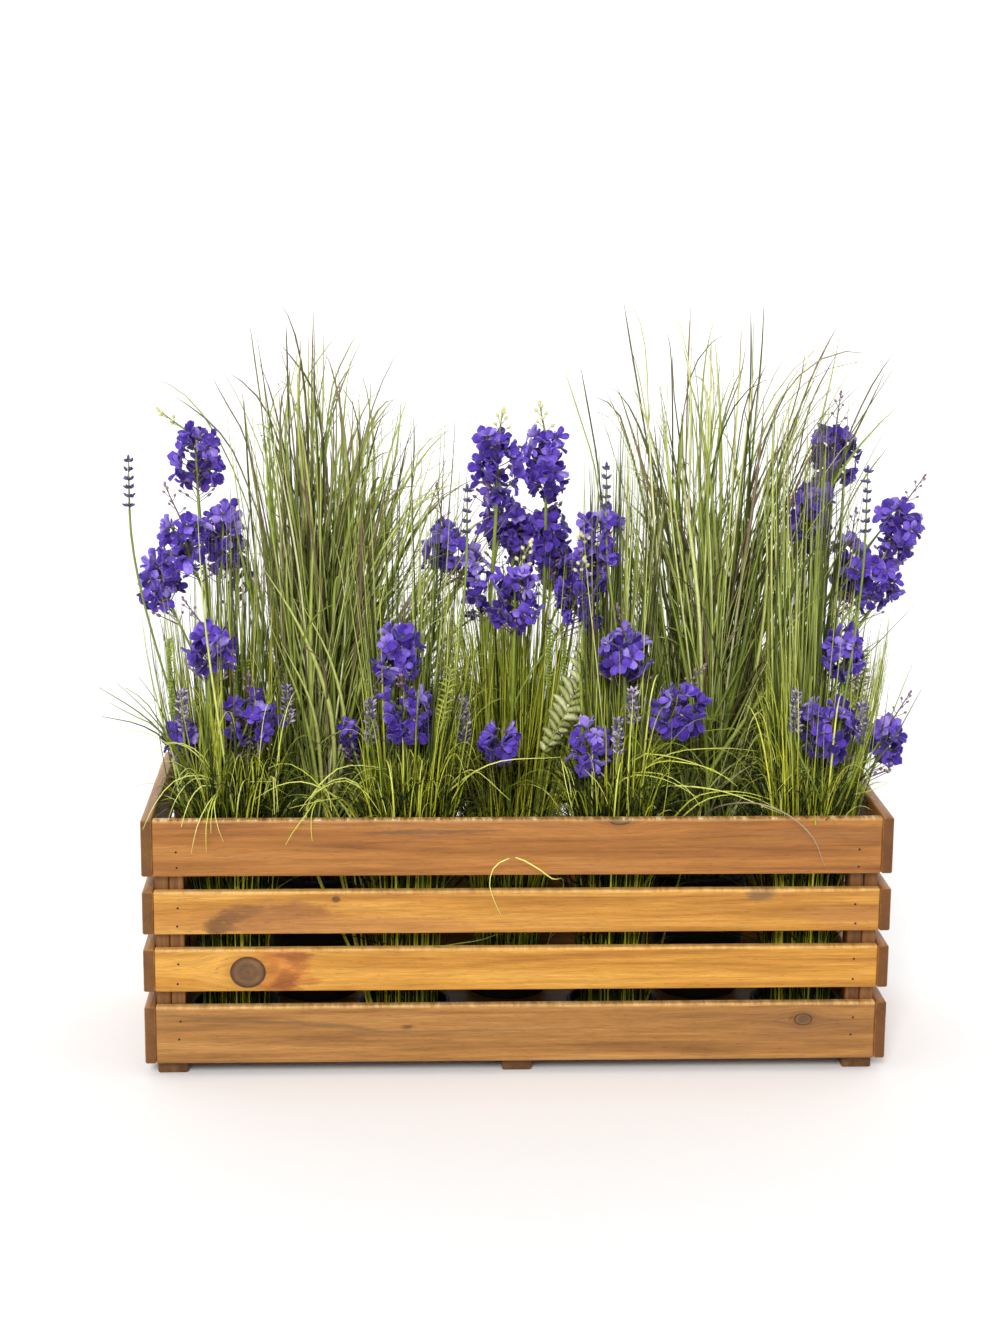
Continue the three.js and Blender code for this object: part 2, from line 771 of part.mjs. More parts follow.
// A fern's frond: leaflets in pairs, cut to the rib, in the outline of one blade that arches back.
function frond(base, tip, halfWidth, pairs) {
  const along = tip.clone().sub(base);
  const length = along.length();
  along.normalize();
  const across = vector(along.z, 0, -along.x).normalize();
  const arch = 0.12 * length;
  const ribHalf = 1.1;
  const at = (s, w) => {
    const point = base.clone().addScaledVector(along, s * length).addScaledVector(across, w);
    point.y += arch * Math.sin(Math.PI * s) * -1 + 0.25 * Math.abs(w);
    return point;
  };
  const points = [];
  const triangles = [];
  const add = (s, w) => points.push(at(s, w)) - 1;
  const pitch = 1 / pairs;
  let [left, right] = [add(0, -ribHalf), add(0, ribHalf)];
  for (let i = 0; i < pairs; i++) {
    const s = i * pitch;
    const width = halfWidth * (0.25 + 0.75 * Math.sin(Math.PI * Math.min(1, 0.25 + 0.72 * (1 - s))));
    const end = s + 0.66 * pitch;
    const reach = s + 0.33 * pitch + (0.4 * width) / length;
    const [nearLeft, nearRight] = [add(end, -ribHalf), add(end, ribHalf)];
    const [tipLeft, tipRight] = [add(reach, -width), add(reach, width)];
    triangles.push([left, right, nearRight], [left, nearRight, nearLeft]);
    triangles.push([tipLeft, left, nearLeft], [right, tipRight, nearRight]);
    if (i === pairs - 1) {
      triangles.push([nearLeft, nearRight, add(1, 0)]);
    } else {
      const [nextLeft, nextRight] = [add(s + pitch, -ribHalf), add(s + pitch, ribHalf)];
      triangles.push([nearLeft, nearRight, nextRight], [nearLeft, nextRight, nextLeft]);
      [left, right] = [nextLeft, nextRight];
    }
  }
  return plate(points, triangles, BLADE_THICK);
}

// ---- stems that stand in the plugs ----

const SEAT_Z = POT_BASE + LOW_POT.fill - STEM_SEAT;

// A clear way for a stem between two points, upright at both ends.
function route(name, start, end, rise, radius, ownPot, random) {
  const attempts = 3000;
  for (let attempt = 0; attempt < attempts; attempt++) {
    const stray = Math.min(60, attempt * 0.12);
    const wander = () => (random() - 0.5) * stray;
    const first = start.clone().add(vector(wander(), wander(), rise * (0.6 + 0.4 * random())));
    const second = end.clone().sub(vector(wander(), wander(), rise * (0.6 + 0.4 * random())));
    const points = arc(start, first, second, end, [0, 0.3, 0.68, 1]);
    if (isClear(name, points, radius) && runIsOffBox(points, radius + 1, ownPot)) return points;
  }
  throw new Error(`${name}: no clear way from ${start.toArray()} to ${end.toArray()}`);
}

// The trunk out of the hole, then one way for each end: the first carries on the trunk, and the
// others fork off it.
function forkedWays(name, spray, ends, random) {
  const [x, y] = holeOf(spray);
  const ownPot = TUFT_POTS[spray.pot];
  const foot = vector(x, y, SEAT_Z + JOINT_GAP);
  const bend = vector(x, y, UPRIGHT);
  const top = ends[0];
  const trunk = [foot, ...route(name, bend, top, 0.4 * (top.z - UPRIGHT), STEM_RADIUS, ownPot, random)];
  take(name, trunk, STEM_RADIUS);
  const ways = [trunk];
  for (const end of ends.slice(1)) {
    const start = forkOf(trunk, end);
    const way = route(name, start, end, 0.38 * (end.z - start.z), BRANCH_RADIUS, ownPot, random);
    take(name, way, BRANCH_RADIUS);
    ways.push(way);
  }
  return ways;
}

// Where a branch leaves the trunk: low enough for a steep climb to its end.
function forkOf(trunk, end) {
  const [foot, top] = [trunk[1], trunk.at(-1)];
  const sideways = Math.hypot(end.x - foot.x, end.y - foot.y);
  const z = Math.min(top.z - 70, Math.max(UPRIGHT + 12, end.z - 60 - 1.2 * sideways));
  const i = trunk.findIndex((point) => point.z > z);
  const [lower, upper] = [trunk[i - 1], trunk[i]];
  return lower.clone().lerp(upper, (z - lower.z) / (upper.z - lower.z));
}

function headSpace([x, y, z, width, height]) {
  const stretch = Math.max(0.5, (height - width) / 2);
  return [[vector(x, y, z - stretch), vector(x, y, z + stretch)], width / 2 + 1];
}

function spikeSpace([x, y, z, length]) {
  return [[vector(x, y, z - length), vector(x, y, z)], LAVENDER_RADIUS + 0.5];
}

function frondSpace({ base, tip, halfWidth }) {
  return [[vector(...base), vector(...tip)], halfWidth + 2];
}

// What the sprays hold up has its place before any stem is led to it.
function reserve(plants, listOf, spaceOf) {
  for (const [name, plant] of Object.entries(plants)) {
    for (const item of listOf(plant)) {
      const [points, radius] = spaceOf(item);
      if (!isClear(name, points, radius)) throw new Error(`${name}: no room at ${points[0].toArray()}`);
      take(name, points, radius);
    }
  }
}

function addSprays(random) {
  for (const [name, spray] of Object.entries(SPRAYS)) {
    const seats = spray.heads.map(([x, y, z, , height]) => vector(x, y, z - height * 0.06));
    const ways = forkedWays(name, spray, seats, random);
    const parts = ways.map((way, i) => {
      const radius = i ? BRANCH_RADIUS : STEM_RADIUS;
      return tube(way, way.map(() => radius), i ? 3 : 4);
    });
    spray.heads.forEach(([x, y, z, width, height], i) => {
      parts.push(head(vector(x, y, z), width, height, random));
      if (i === 0) {
        const tip = vector(x + 8 * (random() - 0.5), y, z + height / 2 + TWIG_REACH);
        parts.push(budTwig(vector(x, y, z + height * 0.1), tip, 2));
      }
    });
    place(name, geometryOf(fuse(parts)), COLOURS.flower);
  }
}

// A lavender sprig: a thin stem that ends in a spike of whorls.
function sprigTube(way, [x, y, z, length], whorls, radius) {
  const points = [...way];
  const radii = way.map(() => radius);
  const base = way.at(-1);
  const tip = vector(x, y, z);
  for (let i = 0; i < whorls; i++) {
    const taper = 1 - (0.45 * i) / whorls;
    points.push(base.clone().lerp(tip, (i + 0.45) / whorls));
    radii.push(LAVENDER_RADIUS * taper);
    points.push(base.clone().lerp(tip, (i + 0.95) / whorls));
    radii.push(i === whorls - 1 ? 0 : 1.4);
  }
  return tube(points, radii, 4, Math.PI / 4);
}

function addLavenders(random) {
  for (const [name, lavender] of Object.entries(LAVENDERS)) {
    const bases = lavender.sprigs.map(([x, y, z, length]) => vector(x, y, z - length));
    const ways = forkedWays(name, lavender, bases, random);
    const parts = ways.map((way, i) => {
      const sprig = lavender.sprigs[i];
      return sprigTube(way, sprig, sprig[4], i ? BRANCH_RADIUS * 0.8 : BRANCH_RADIUS);
    });
    place(name, geometryOf(fuse(parts)), COLOURS.lavender);
  }
}

function addFerns(random) {
  for (const [name, fern] of Object.entries(FERNS)) {
    const base = vector(...fern.base);
    const [way] = forkedWays(name, fern, [base], random);
    const leaf = frond(base, vector(...fern.tip), fern.halfWidth, fern.pairs);
    const sunk = base.clone().lerp(vector(...fern.tip), 0.1);
    const stem = tube([...way, sunk], [...way.map(() => BRANCH_RADIUS), 1], 4);
    place(name, geometryOf(stem.add(leaf)), COLOURS.fern);
  }
}

// ---- grasses ----

// One blade's run of points from its root to its tip, or nothing where it would touch.
function tryBlade(name, root, rise, crest, tip, shares, width, ownPot) {
  const points = arc(root, rise, crest, tip, shares);
  const radius = 0.45 * width;
  const others = isClear(name, points, radius + 0.4, OWN_SPACE);
  if (!others || !runIsOffBox(points, radius + 1.5, ownPot)) return null;
  take(name, points, radius);
  return points;
}

function rootAt([x, y], patch, angle, share, size) {
  const reach = patch * Math.sqrt(share);
  return vector(x + reach * Math.cos(angle), y + reach * Math.sin(angle), POT_BASE + size.fill - SINK);
}

// A tall clump's blade: nearly straight, fanned out from the patch of roots.
function tallBlade(name, centre, tip, width, random) {
  const angle = Math.atan2(tip.y - centre[1], tip.x - centre[0]) + (random() - 0.5);
  const reach = Math.hypot(tip.x - centre[0], tip.y - centre[1]);
  const share = Math.min(1, reach / 190) * (0.4 + 0.6 * random());
  const root = rootAt(centre, TALL_ROOTS, angle, share, TALL_POT);
  const climb = tip.z - root.z;
  const rise = root.clone().add(vector(0, 0, climb * 0.45));
  const lean = 0.1 + 0.2 * random();
  rise.x += (tip.x - root.x) * lean;
  rise.y += (tip.y - root.y) * lean;
  const crest = tip.clone().sub(vector((tip.x - root.x) * 0.25, (tip.y - root.y) * 0.25, climb * 0.2));
  return tryBlade(name, root, rise, crest, tip, [0, 0.45, 0.8, 1], width, centre);
}

// A tuft's blade: upright beside the others, then arched over, the far ones drooping.
function tuftBlade(name, centre, tip, width, random) {
  const angle = Math.atan2(tip.y - centre[1], tip.x - centre[0]) + (random() - 0.5);
  const reach = Math.hypot(tip.x - centre[0], tip.y - centre[1]);
  const share = Math.min(1, reach / 150) * (0.3 + 0.7 * random());
  const root = rootAt(centre, TUFT_ROOTS, angle, share, LOW_POT);
  const rise = root.clone().add(vector(0, 0, Math.max(RIM + 40, tip.z * 0.72) - root.z));
  const crest = tip.clone();
  crest.x += (root.x - tip.x) * 0.5;
  crest.y += (root.y - tip.y) * 0.5;
  crest.z = Math.max(tip.z + 0.3 * reach, RIM + 60);
  const shares = reach < NEAR_REACH ? [0, 0.5, 0.82, 1] : [0, 0.4, 0.68, 0.87, 1];
  return tryBlade(name, root, rise, crest, tip, shares, width, centre);
}

// Where a random blade's tip may lie, as a direction, a distance and a height.
function tallTip(centre, random) {
  const angle = 2 * Math.PI * random();
  const reach = 15 + 195 * random();
  const z = 470 + 320 * Math.pow(random(), 0.8) - 0.5 * reach;
  return vector(centre[0] + reach * Math.cos(angle), centre[1] + 0.8 * reach * Math.sin(angle), z);
}

function tuftTip(centre, random) {
  const angle = 2 * Math.PI * random();
  const reach = 12 + 128 * random();
  const z = 500 - 1.35 * reach + 60 * (random() - 0.5);
  return vector(centre[0] + reach * Math.cos(angle), centre[1] + reach * Math.sin(angle), z);
}

const TALL = { blade: tallBlade, tip: tallTip, count: TALL_BLADES, narrow: 2.6, wide: 4.6 };
const TUFT = { blade: tuftBlade, tip: tuftTip, count: TUFT_BLADES, narrow: 2, wide: 3 };

// Leading blades have their place before the others are drawn at random.
function leadBlades(name, kind, centre, random) {
  const lead = LEADING_BLADES[name] || [];
  return lead.map(([x, y, z]) => {
    for (let attempt = 0; attempt < 2000; attempt++) {
      const stray = Math.min(40, attempt * 0.05);
      const tip = vector(x, y + stray * (random() - 0.5), z - 0.2 * stray * random());
      const points = kind.blade(name, centre, tip, kind.narrow, random);
      if (points) return [points, kind.narrow];
    }
    throw new Error(`${name}: no clear way to the tip ${[x, y, z]}`);
  });
}

function growBlades(name, kind, centre, random) {
  const grown = [];
  for (let attempt = 0; attempt < 40 * kind.count && grown.length < kind.count; attempt++) {
    const width = kind.narrow + (kind.wide - kind.narrow) * random() ** 2;
    const points = kind.blade(name, centre, kind.tip(centre, random), width, random);
    if (points) grown.push([points, width]);
  }
  return grown;
}

function addGrasses(random) {
  const clumps = [];
  for (const [side, centre] of Object.entries(TALL_POTS)) {
    clumps.push({ name: `grass_tall_${side}`, kind: TALL, size: TALL_POT, centre });
  }
  for (const [side, centre] of Object.entries(TUFT_POTS)) {
    clumps.push({ name: `tuft_${side}`, kind: TUFT, size: LOW_POT, centre });
  }
  for (const clump of clumps) clump.lead = leadBlades(clump.name, clump.kind, clump.centre, random);
  for (const { name, kind, size, centre, lead } of clumps) {
    const grown = growBlades(name, kind, centre, random);
    const parts = [...lead, ...grown].map(([points, width]) => blade(points, width));
    parts.unshift(cutHoles(plug(size).translate([centre[0], centre[1], POT_BASE]), name));
    const colour = kind === TALL ? COLOURS.tallGrass : COLOURS.tuft;
    place(name, geometryOf(fuse(parts)), colour);
  }
}

// Plain holes in a tuft's plug for the sprays that stand in it.
function cutHoles(plugSolid, name) {
  let cut = plugSolid;
  for (const spray of Object.values({ ...SPRAYS, ...LAVENDERS, ...FERNS })) {
    if (`tuft_${spray.pot}` !== name) continue;
    const [x, y] = holeOf(spray);
    const depth = 2 * STEM_SEAT;
    const hole = new THREE.CylinderGeometry(STEM_HOLE, STEM_HOLE, depth, 8).rotateX(Math.PI / 2);
    cut = cut.subtract(solid(hole.translate(x, y, SEAT_Z + depth / 2)));
  }
  return cut;
}

function addPots() {
  const low = pot(LOW_POT);
  const tall = pot(TALL_POT);
  for (const [side, [x, y]] of Object.entries(TUFT_POTS)) {
    place(`pot_low_${side}`, low, COLOURS.pot, [x, y, POT_BASE]);
  }
  for (const [side, [x, y]] of Object.entries(TALL_POTS)) {
    place(`pot_tall_${side}`, tall, COLOURS.pot, [x, y, POT_BASE]);
  }
}

addSlats();
addBattens();
addFloor();
addPots();
reserve(SPRAYS, (plant) => plant.heads, headSpace);
reserve(LAVENDERS, (plant) => plant.sprigs, spikeSpace);
reserve(FERNS, (plant) => [plant], frondSpace);
const random = randomFrom(20240607);
addSprays(random);
addLavenders(random);
addFerns(random);
addGrasses(random);

export default box;
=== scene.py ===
import json
import math

import bpy
import numpy as np
from mathutils import Matrix, Vector


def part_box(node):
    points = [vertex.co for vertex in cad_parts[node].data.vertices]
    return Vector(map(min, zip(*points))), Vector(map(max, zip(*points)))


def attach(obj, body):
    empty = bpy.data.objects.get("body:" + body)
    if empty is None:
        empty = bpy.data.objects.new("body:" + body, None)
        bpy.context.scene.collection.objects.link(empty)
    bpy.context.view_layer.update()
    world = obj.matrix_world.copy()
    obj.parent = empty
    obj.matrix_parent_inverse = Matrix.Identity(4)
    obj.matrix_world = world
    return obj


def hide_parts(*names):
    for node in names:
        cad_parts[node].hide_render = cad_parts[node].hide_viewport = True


# A planted window box: a slatted wooden box with black pots that hold tall grasses, bright tufts,
# violet-blue flower sprays, lavender and ferns. Lengths are in millimetres here and are turned to
# metres where a mesh is made. The origin is the middle of the footprint: X right, Y back, Z up.

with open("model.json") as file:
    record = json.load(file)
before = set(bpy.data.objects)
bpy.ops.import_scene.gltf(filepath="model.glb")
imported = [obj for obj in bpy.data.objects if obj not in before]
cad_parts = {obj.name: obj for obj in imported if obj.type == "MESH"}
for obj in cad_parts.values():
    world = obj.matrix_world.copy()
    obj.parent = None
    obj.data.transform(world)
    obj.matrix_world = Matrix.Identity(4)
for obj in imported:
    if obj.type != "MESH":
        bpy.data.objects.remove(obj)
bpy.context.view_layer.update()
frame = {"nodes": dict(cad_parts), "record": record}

MM = 0.001

# ---- camera, as it stood for the picture of 1000 x 1333 ----

CAMERA_PLACE = (-136.85, -2636.5, 980.7)
CAMERA_SENSOR = 36.0  # along the picture's long side
CAMERA_LENS = 65.87
CAMERA_YAW, CAMERA_PITCH, CAMERA_ROLL = 2.634, 12.009, 0.498  # degrees
CAMERA_NEAR, CAMERA_FAR = 0.05, 60.0  # metres

# ---- light and paper, in metres ----

SKY = 0.71
KEY = 2.0
KEY_SPREAD = 18.0  # degrees, a broad soft light
KEY_FROM = (-0.22, -1.0, 0.66)
SWEEP_FRONT, SWEEP_START, SWEEP_RADIUS = -12.0, 4.0, 2.5
SWEEP_TOP, SWEEP_SIDE = 9.0, 14.0

# ---- box ----

EDGE_RADIUS = 2.4
FRONT_Y = -150.0
END_X = 400.0
RIM_Z = 286.0
NAIL_RADIUS = 1.25
NAIL_X = 362.5
NAIL_Y = 122.0  # of the nails in the end boards
NAIL_INSET = 0.3  # share of an end board's height, in from its upper and lower edges
NAIL_SHARES = {1: (0.43, 0.75), 2: (0.21, 0.68), 3: (0.19, 0.65), 4: (0.14, 0.45)}  # up each slat

# ---- pots, stems and flower heads ----

POT_BASE = 30.6
LOW_POT = {"radius": 48.0, "foot": 45.0, "height": 32.0, "fill": 25.0}
TALL_POT = {"radius": 57.0, "foot": 46.0, "height": 146.0, "fill": 136.0}
POT_WALL = 2.0
POT_LIP = 1.5
ROOT_DEPTH = 5.0  # how far down in its plug a blade starts
LOW_ROOT_Z = POT_BASE + LOW_POT["fill"] - ROOT_DEPTH
TALL_ROOT_Z = POT_BASE + TALL_POT["fill"] - ROOT_DEPTH
STEM_RING = 37.5  # from a plug's middle to its holes for stems
SEAT_Z = 35.6  # the holes' floor
UPRIGHT = 215.0  # a stem is straight up to this height
STEM_RADIUS = 1.9
BRANCH_RADIUS = 1.35
FLORET_REACH = 15.5
FLORET_ROOM = 190.0  # of a head's width times height, for each floret
FLORET_TURN = 2.39996  # radians from one floret of a head's spiral to the next
LOW_BUDS = 9  # closed buds under each head
PETAL_THICKNESS = 0.35

TUFT_POTS = {
    "left": (-305, -84),
    "mid_left": (-121, -84),
    "centre": (-3, 48),
    "mid_right": (107, -84),
    "right": (311, -84),
}
TALL_POTS = {"left": (-221, 45), "right": (217, 45)}

# Each spray: the tuft pot and the hole's angle round it, then its heads as
# [x, y, z, width, height].
SPRAYS = {
    "flowers_left_tall": (
        "left", 100,
        [(-348, 20, 648, 58, 74), (-358, -40, 562, 60, 72), (-320, 30, 560, 52, 78),
         (-388, 20, 511, 54, 66), (-306, 62, 513, 32, 56)],
    ),
    "flowers_left_low": (
        "left", 205,
        [(-330, -70, 454, 56, 58), (-287, -70, 374, 64, 60), (-361, -60, 354, 44, 48)],
    ),
    "flowers_centre_left": (
        "centre", 190,
        [(-20, -10, 647, 64, 80), (-12, 62, 570, 62, 66), (-78, 10, 551, 52, 62),
         (-44, 0, 516, 36, 84), (14, 80, 552, 54, 72)],
    ),
    "flowers_centre_right": (
        "centre", 10,
        [(34, 12, 642, 54, 86), (40, 30, 558, 50, 70), (84, -4, 531, 54, 62),
         (89, -10, 568, 56, 66), (50, 84, 518, 56, 60)],
    ),
    "flowers_centre_front": (
        "centre", 270,
        [(-2, -42, 503, 60, 76), (70, -10, 495, 62, 62), (-16, -72, 350, 46, 50)],
    ),
    "flowers_mid_left": (
        "mid_left", 150,
        [(-130, -60, 446, 58, 66), (-120, -82, 382, 62, 64), (-182, -34, 348, 32, 52)],
    ),
    "flowers_mid_right": (
        "mid_right", 60,
        [(116, -60, 446, 62, 60), (173, -80, 387, 64, 60), (80, -90, 347, 48, 66)],
    ),
    "flowers_right_tall": (
        "right", 75,
        [(358, 52, 649, 58, 76), (326, 16, 586, 52, 82), (423, 0, 574, 58, 68),
         (378, 42, 524, 46, 78), (396, 0, 516, 74, 66)],
    ),
    "flowers_right_low": (
        "right", 0,
        [(360, -40, 444, 62, 58), (334, -82, 368, 76, 66), (408, -62, 348, 48, 60)],
    ),
}

# Each bunch: the pot and the hole's angle, then its sprigs' tips as [x, y, z, length, whorls].
LAVENDERS = {
    "lavender_left": (
        "left", 150, [(-418, -10, 653, 58, 6), (-358, -84, 412, 46, 6), (-249, -34, 406, 42, 6)],
    ),
    "lavender_mid_left": (
        "mid_left", 20, [(-54, -36, 626, 56, 5), (-58, -84, 402, 50, 7), (-158, -92, 404, 50, 7)],
    ),
    "lavender_mid_right": (
        "mid_right", 0,
        [(97, -20, 648, 52, 5), (121, -110, 418, 38, 5), (106, -116, 388, 38, 5)],
    ),
    "lavender_right": (
        "right", 300,
        [(378, -40, 648, 76, 7), (295, -116, 418, 46, 6), (370, -104, 402, 46, 6)],
    ),
}
LOOSE_ABOVE = 500  # a sprig this high has a spaced spike, a lower one a dense spike

# Each fern: the pot and the hole's angle, the frond's base and tip, half its width, how many
# pairs of leaflets it has, and how full they are.
FERNS = {
    "fern_centre": ("centre", 318, (32, -30, 328), (86, 0, 432), 22, 14, 0.52),
    "fern_small": ("mid_left", 300, (-86, -98, 354), (-72, -96, 438), 9, 15, 0.26),
    "fern_right": ("right", 110, (384, 4, 364), (388, 6, 436), 11, 15, 0.26),
}

# Tips that stand out of the grasses' outline.
LEADING_TIPS = {
    "grass_tall_left": [
        (-249, 5, 819), (-336, 90, 760), (-289, 10, 800), (-219, 60, 805),
        (-192, 90, 760), (-167, 40, 785), (-131, 60, 768), (-408, 90, 728),
    ],
    "grass_tall_right": [
        (117, 15, 826), (280, 90, 828), (155, 20, 821), (193, 60, 819),
        (232, 100, 800), (371, 120, 794), (440, 130, 759), (55, 90, 739),
    ],
    "tuft_left": [(-462, -60, 417), (-450, -90, 372)],
    "tuft_right": [(447, -70, 424), (428, -40, 330)],
}

# Bright blades that arch out of the tufts, as the places that each passes: over the rim's level,
# at its crest, and its tip.
STRANDS = {
    "tuft_left": [
        [(-317, -100, 310), (-337, -115, 326), (-363, -132, 325), (-385, -150, 302), (-396, -160, 279)],
        [(-319, -105, 312), (-343, -120, 324), (-361, -145, 310), (-370, -157, 288)],
        [(-319, -105, 309), (-336, -125, 317), (-349, -148, 304), (-356, -158, 281)],
        [(-317, -108, 307), (-327, -136, 304), (-339, -158, 283), (-346, -161, 253)],
        [(-318, -110, 308), (-325, -140, 304), (-330, -159, 281), (-330, -161, 254)],
        [(-319, -112, 306), (-322, -146, 301), (-318, -159, 282), (-312, -161, 266)],
        [(-319, -112, 304), (-324, -148, 298), (-325, -158, 285), (-325, -160, 275)],
        [(-336, -66, 283), (-378, -76, 364), (-388, -78, 382), (-399, -80, 399), (-419, -82, 414)],
        [(-337, -68, 283), (-379, -78, 365), (-390, -80, 380), (-401, -80, 392), (-428, -84, 420)],
        [(-338, -70, 284), (-381, -82, 364), (-394, -84, 376), (-408, -86, 383), (-435, -90, 399)],
        [(-338, -72, 285), (-378, -84, 360), (-389, -86, 374), (-403, -88, 387), (-446, -90, 416)],
        [(-339, -62, 282), (-376, -70, 368), (-383, -72, 388), (-392, -74, 405), (-405, -76, 424)],
        [(-337, -58, 280), (-378, -66, 350), (-388, -70, 361), (-402, -74, 370), (-445, -80, 382)],
        [(-338, -62, 280), (-380, -70, 352), (-396, -74, 362), (-418, -78, 366), (-444, -82, 364)],
        [(-322, -95, 309), (-335, -100, 341), (-360, -110, 360), (-380, -118, 357), (-387, -125, 340)],
        [(-322, -95, 309), (-338, -100, 339), (-355, -110, 357), (-375, -118, 363), (-388, -125, 353)],
        [(-303, -100, 310), (-284, -112, 318), (-262, -120, 320)],
        [(-276, -95, 285), (-268, -105, 314), (-262, -118, 327), (-260, -132, 311), (-259, -146, 291)],
        [(-276, -95, 285), (-267, -105, 311), (-261, -118, 326), (-257, -132, 311), (-255, -146, 294)],
    ],
    "tuft_mid_left": [
        [(-213, -100, 310), (-228, -110, 328), (-251, -118, 340), (-266, -125, 336)],
        [(-209, -100, 315), (-191, -105, 331), (-168, -110, 335), (-140, -115, 332)],
        [(-168, -98, 309), (-187, -105, 320), (-207, -120, 316), (-223, -135, 306), (-233, -146, 294)],
        [(-210, -100, 307), (-229, -110, 317), (-254, -122, 317), (-280, -135, 305)],
        [(-206, -112, 310), (-202, -125, 306), (-199, -140, 293)],
        [(-205, -105, 311), (-187, -112, 319), (-166, -125, 312), (-147, -140, 289)],
        [(-217, -120, 298), (-227, -154, 291), (-239, -160, 276), (-247, -161, 262)],
        [(-216, -125, 298), (-220, -155, 290), (-220, -160, 276), (-219, -161, 266)],
        [(-192, -100, 295), (-205, -120, 300), (-221, -130, 299), (-244, -140, 296)],
        [(-162, -96, 316), (-154, -106, 321), (-147, -125, 307), (-141, -140, 289)],
        [(-83, -90, 291), (-30, -110, 336), (44, -120, 346)],
        [(-83, -90, 291), (-52, -110, 330), (-10, -140, 304)],
    ],
    "tuft_mid_right": [
        [(114, -95, 283), (117, -100, 324), (131, -105, 344), (162, -115, 345), (193, -125, 338),
         (227, -135, 324)],
        [(117, -95, 283), (132, -100, 324), (152, -108, 338), (178, -118, 339), (209, -128, 333),
         (232, -138, 318)],
        [(106, -100, 282), (108, -110, 315), (120, -115, 324), (141, -120, 325), (164, -130, 320),
         (190, -140, 306)],
        [(121, -85, 281), (146, -88, 332), (176, -90, 345), (203, -92, 348), (232, -95, 349),
         (263, -98, 346)],
        [(124, -75, 278), (153, -75, 342), (183, -75, 359), (209, -78, 365), (250, -80, 367)],
        [(128, -70, 276), (167, -70, 358), (199, -70, 376), (221, -72, 381), (241, -74, 382)],
        [(107, -90, 279), (100, -92, 308), (78, -96, 330), (70, -100, 329), (77, -112, 324),
         (85, -125, 318), (94, -140, 300)],
        [(60, -100, 279), (53, -105, 325), (46, -110, 341), (48, -120, 329), (51, -132, 313),
         (56, -142, 294)],
        [(177, -95, 280), (192, -100, 296), (218, -110, 305), (246, -120, 306), (271, -135, 302)],
        [(182, -100, 277), (200, -105, 293), (228, -112, 302), (253, -125, 302), (278, -140, 292)],
        [(199, -90, 279), (212, -90, 321), (211, -90, 363), (207, -92, 380), (201, -95, 390)],
        [(117, -95, 281), (113, -98, 318), (137, -104, 325), (160, -112, 323), (181, -122, 311),
         (193, -138, 296)],
        [(134, -80, 299), (212, -110, 307), (281, -140, 288)],
    ],
    "tuft_right": [
        [(294, -95, 277), (291, -98, 303), (297, -100, 320), (307, -104, 330), (315, -108, 331)],
        [(283, -95, 277), (281, -98, 298), (282, -102, 306), (293, -108, 321), (312, -114, 331)],
        [(308, -90, 301), (303, -110, 331), (276, -130, 311)],
        [(308, -90, 301), (294, -100, 346), (267, -120, 340)],
        [(364, -80, 298), (397, -70, 352), (433, -50, 431)],
        [(365, -90, 301), (406, -80, 349), (440, -70, 408)],
        [(363, -90, 295), (383, -110, 306), (405, -120, 322)],
        [(352, -90, 301), (379, -100, 337), (401, -110, 326)],
    ],
}

# Broad blades of the tall grasses: low place, bend and tip, with the width.
BROAD_BLADES = {
    "grass_tall_left": [
        [(-199, 0, 276), (-204, -20, 382), (-241, -30, 481), (-275, -40, 539), 5.5],
        [(-195, 0, 276), (-187, -20, 364), (-202, -30, 433), (-234, -40, 501), 5.0],
        [(-217, 0, 276), (-236, -20, 386), (-252, -26, 432), (-269, -30, 477), 4.5],
        [(-213, 0, 290), (-229, -30, 400), (-242, -35, 428), (-256, -40, 457), 5.0],
        [(-205, 0, 280), (-170, -14, 400), (-150, -20, 480), (-138, -20, 540), 5.0],
        [(-222, 0, 280), (-224, -14, 420), (-222, -20, 520), (-216, -20, 600), 6.0],
    ],
    "grass_tall_right": [
        [(218, 10, 269), (221, 0, 392), (216, 0, 450), (212, 0, 520), 6.5],
        [(212, 10, 269), (205, 0, 392), (204, 0, 450), (205, 0, 510), 6.5],
        [(199, 0, 272), (230, -20, 385), (250, -20, 425), (269, -20, 464), 5.0],
        [(211, 0, 271), (256, -20, 363), (285, -20, 404), (315, -20, 442), 5.5],
        [(205, 0, 271), (196, -16, 380), (180, -20, 460), (160, -20, 540), 5.0],
        [(272, -20, 277), (285, -30, 348), (282, -20, 397), (257, 10, 492), 4.0],
        [(222, 0, 272), (246, -10, 400), (262, -10, 500), (270, -6, 590), 6.0],
    ],
}

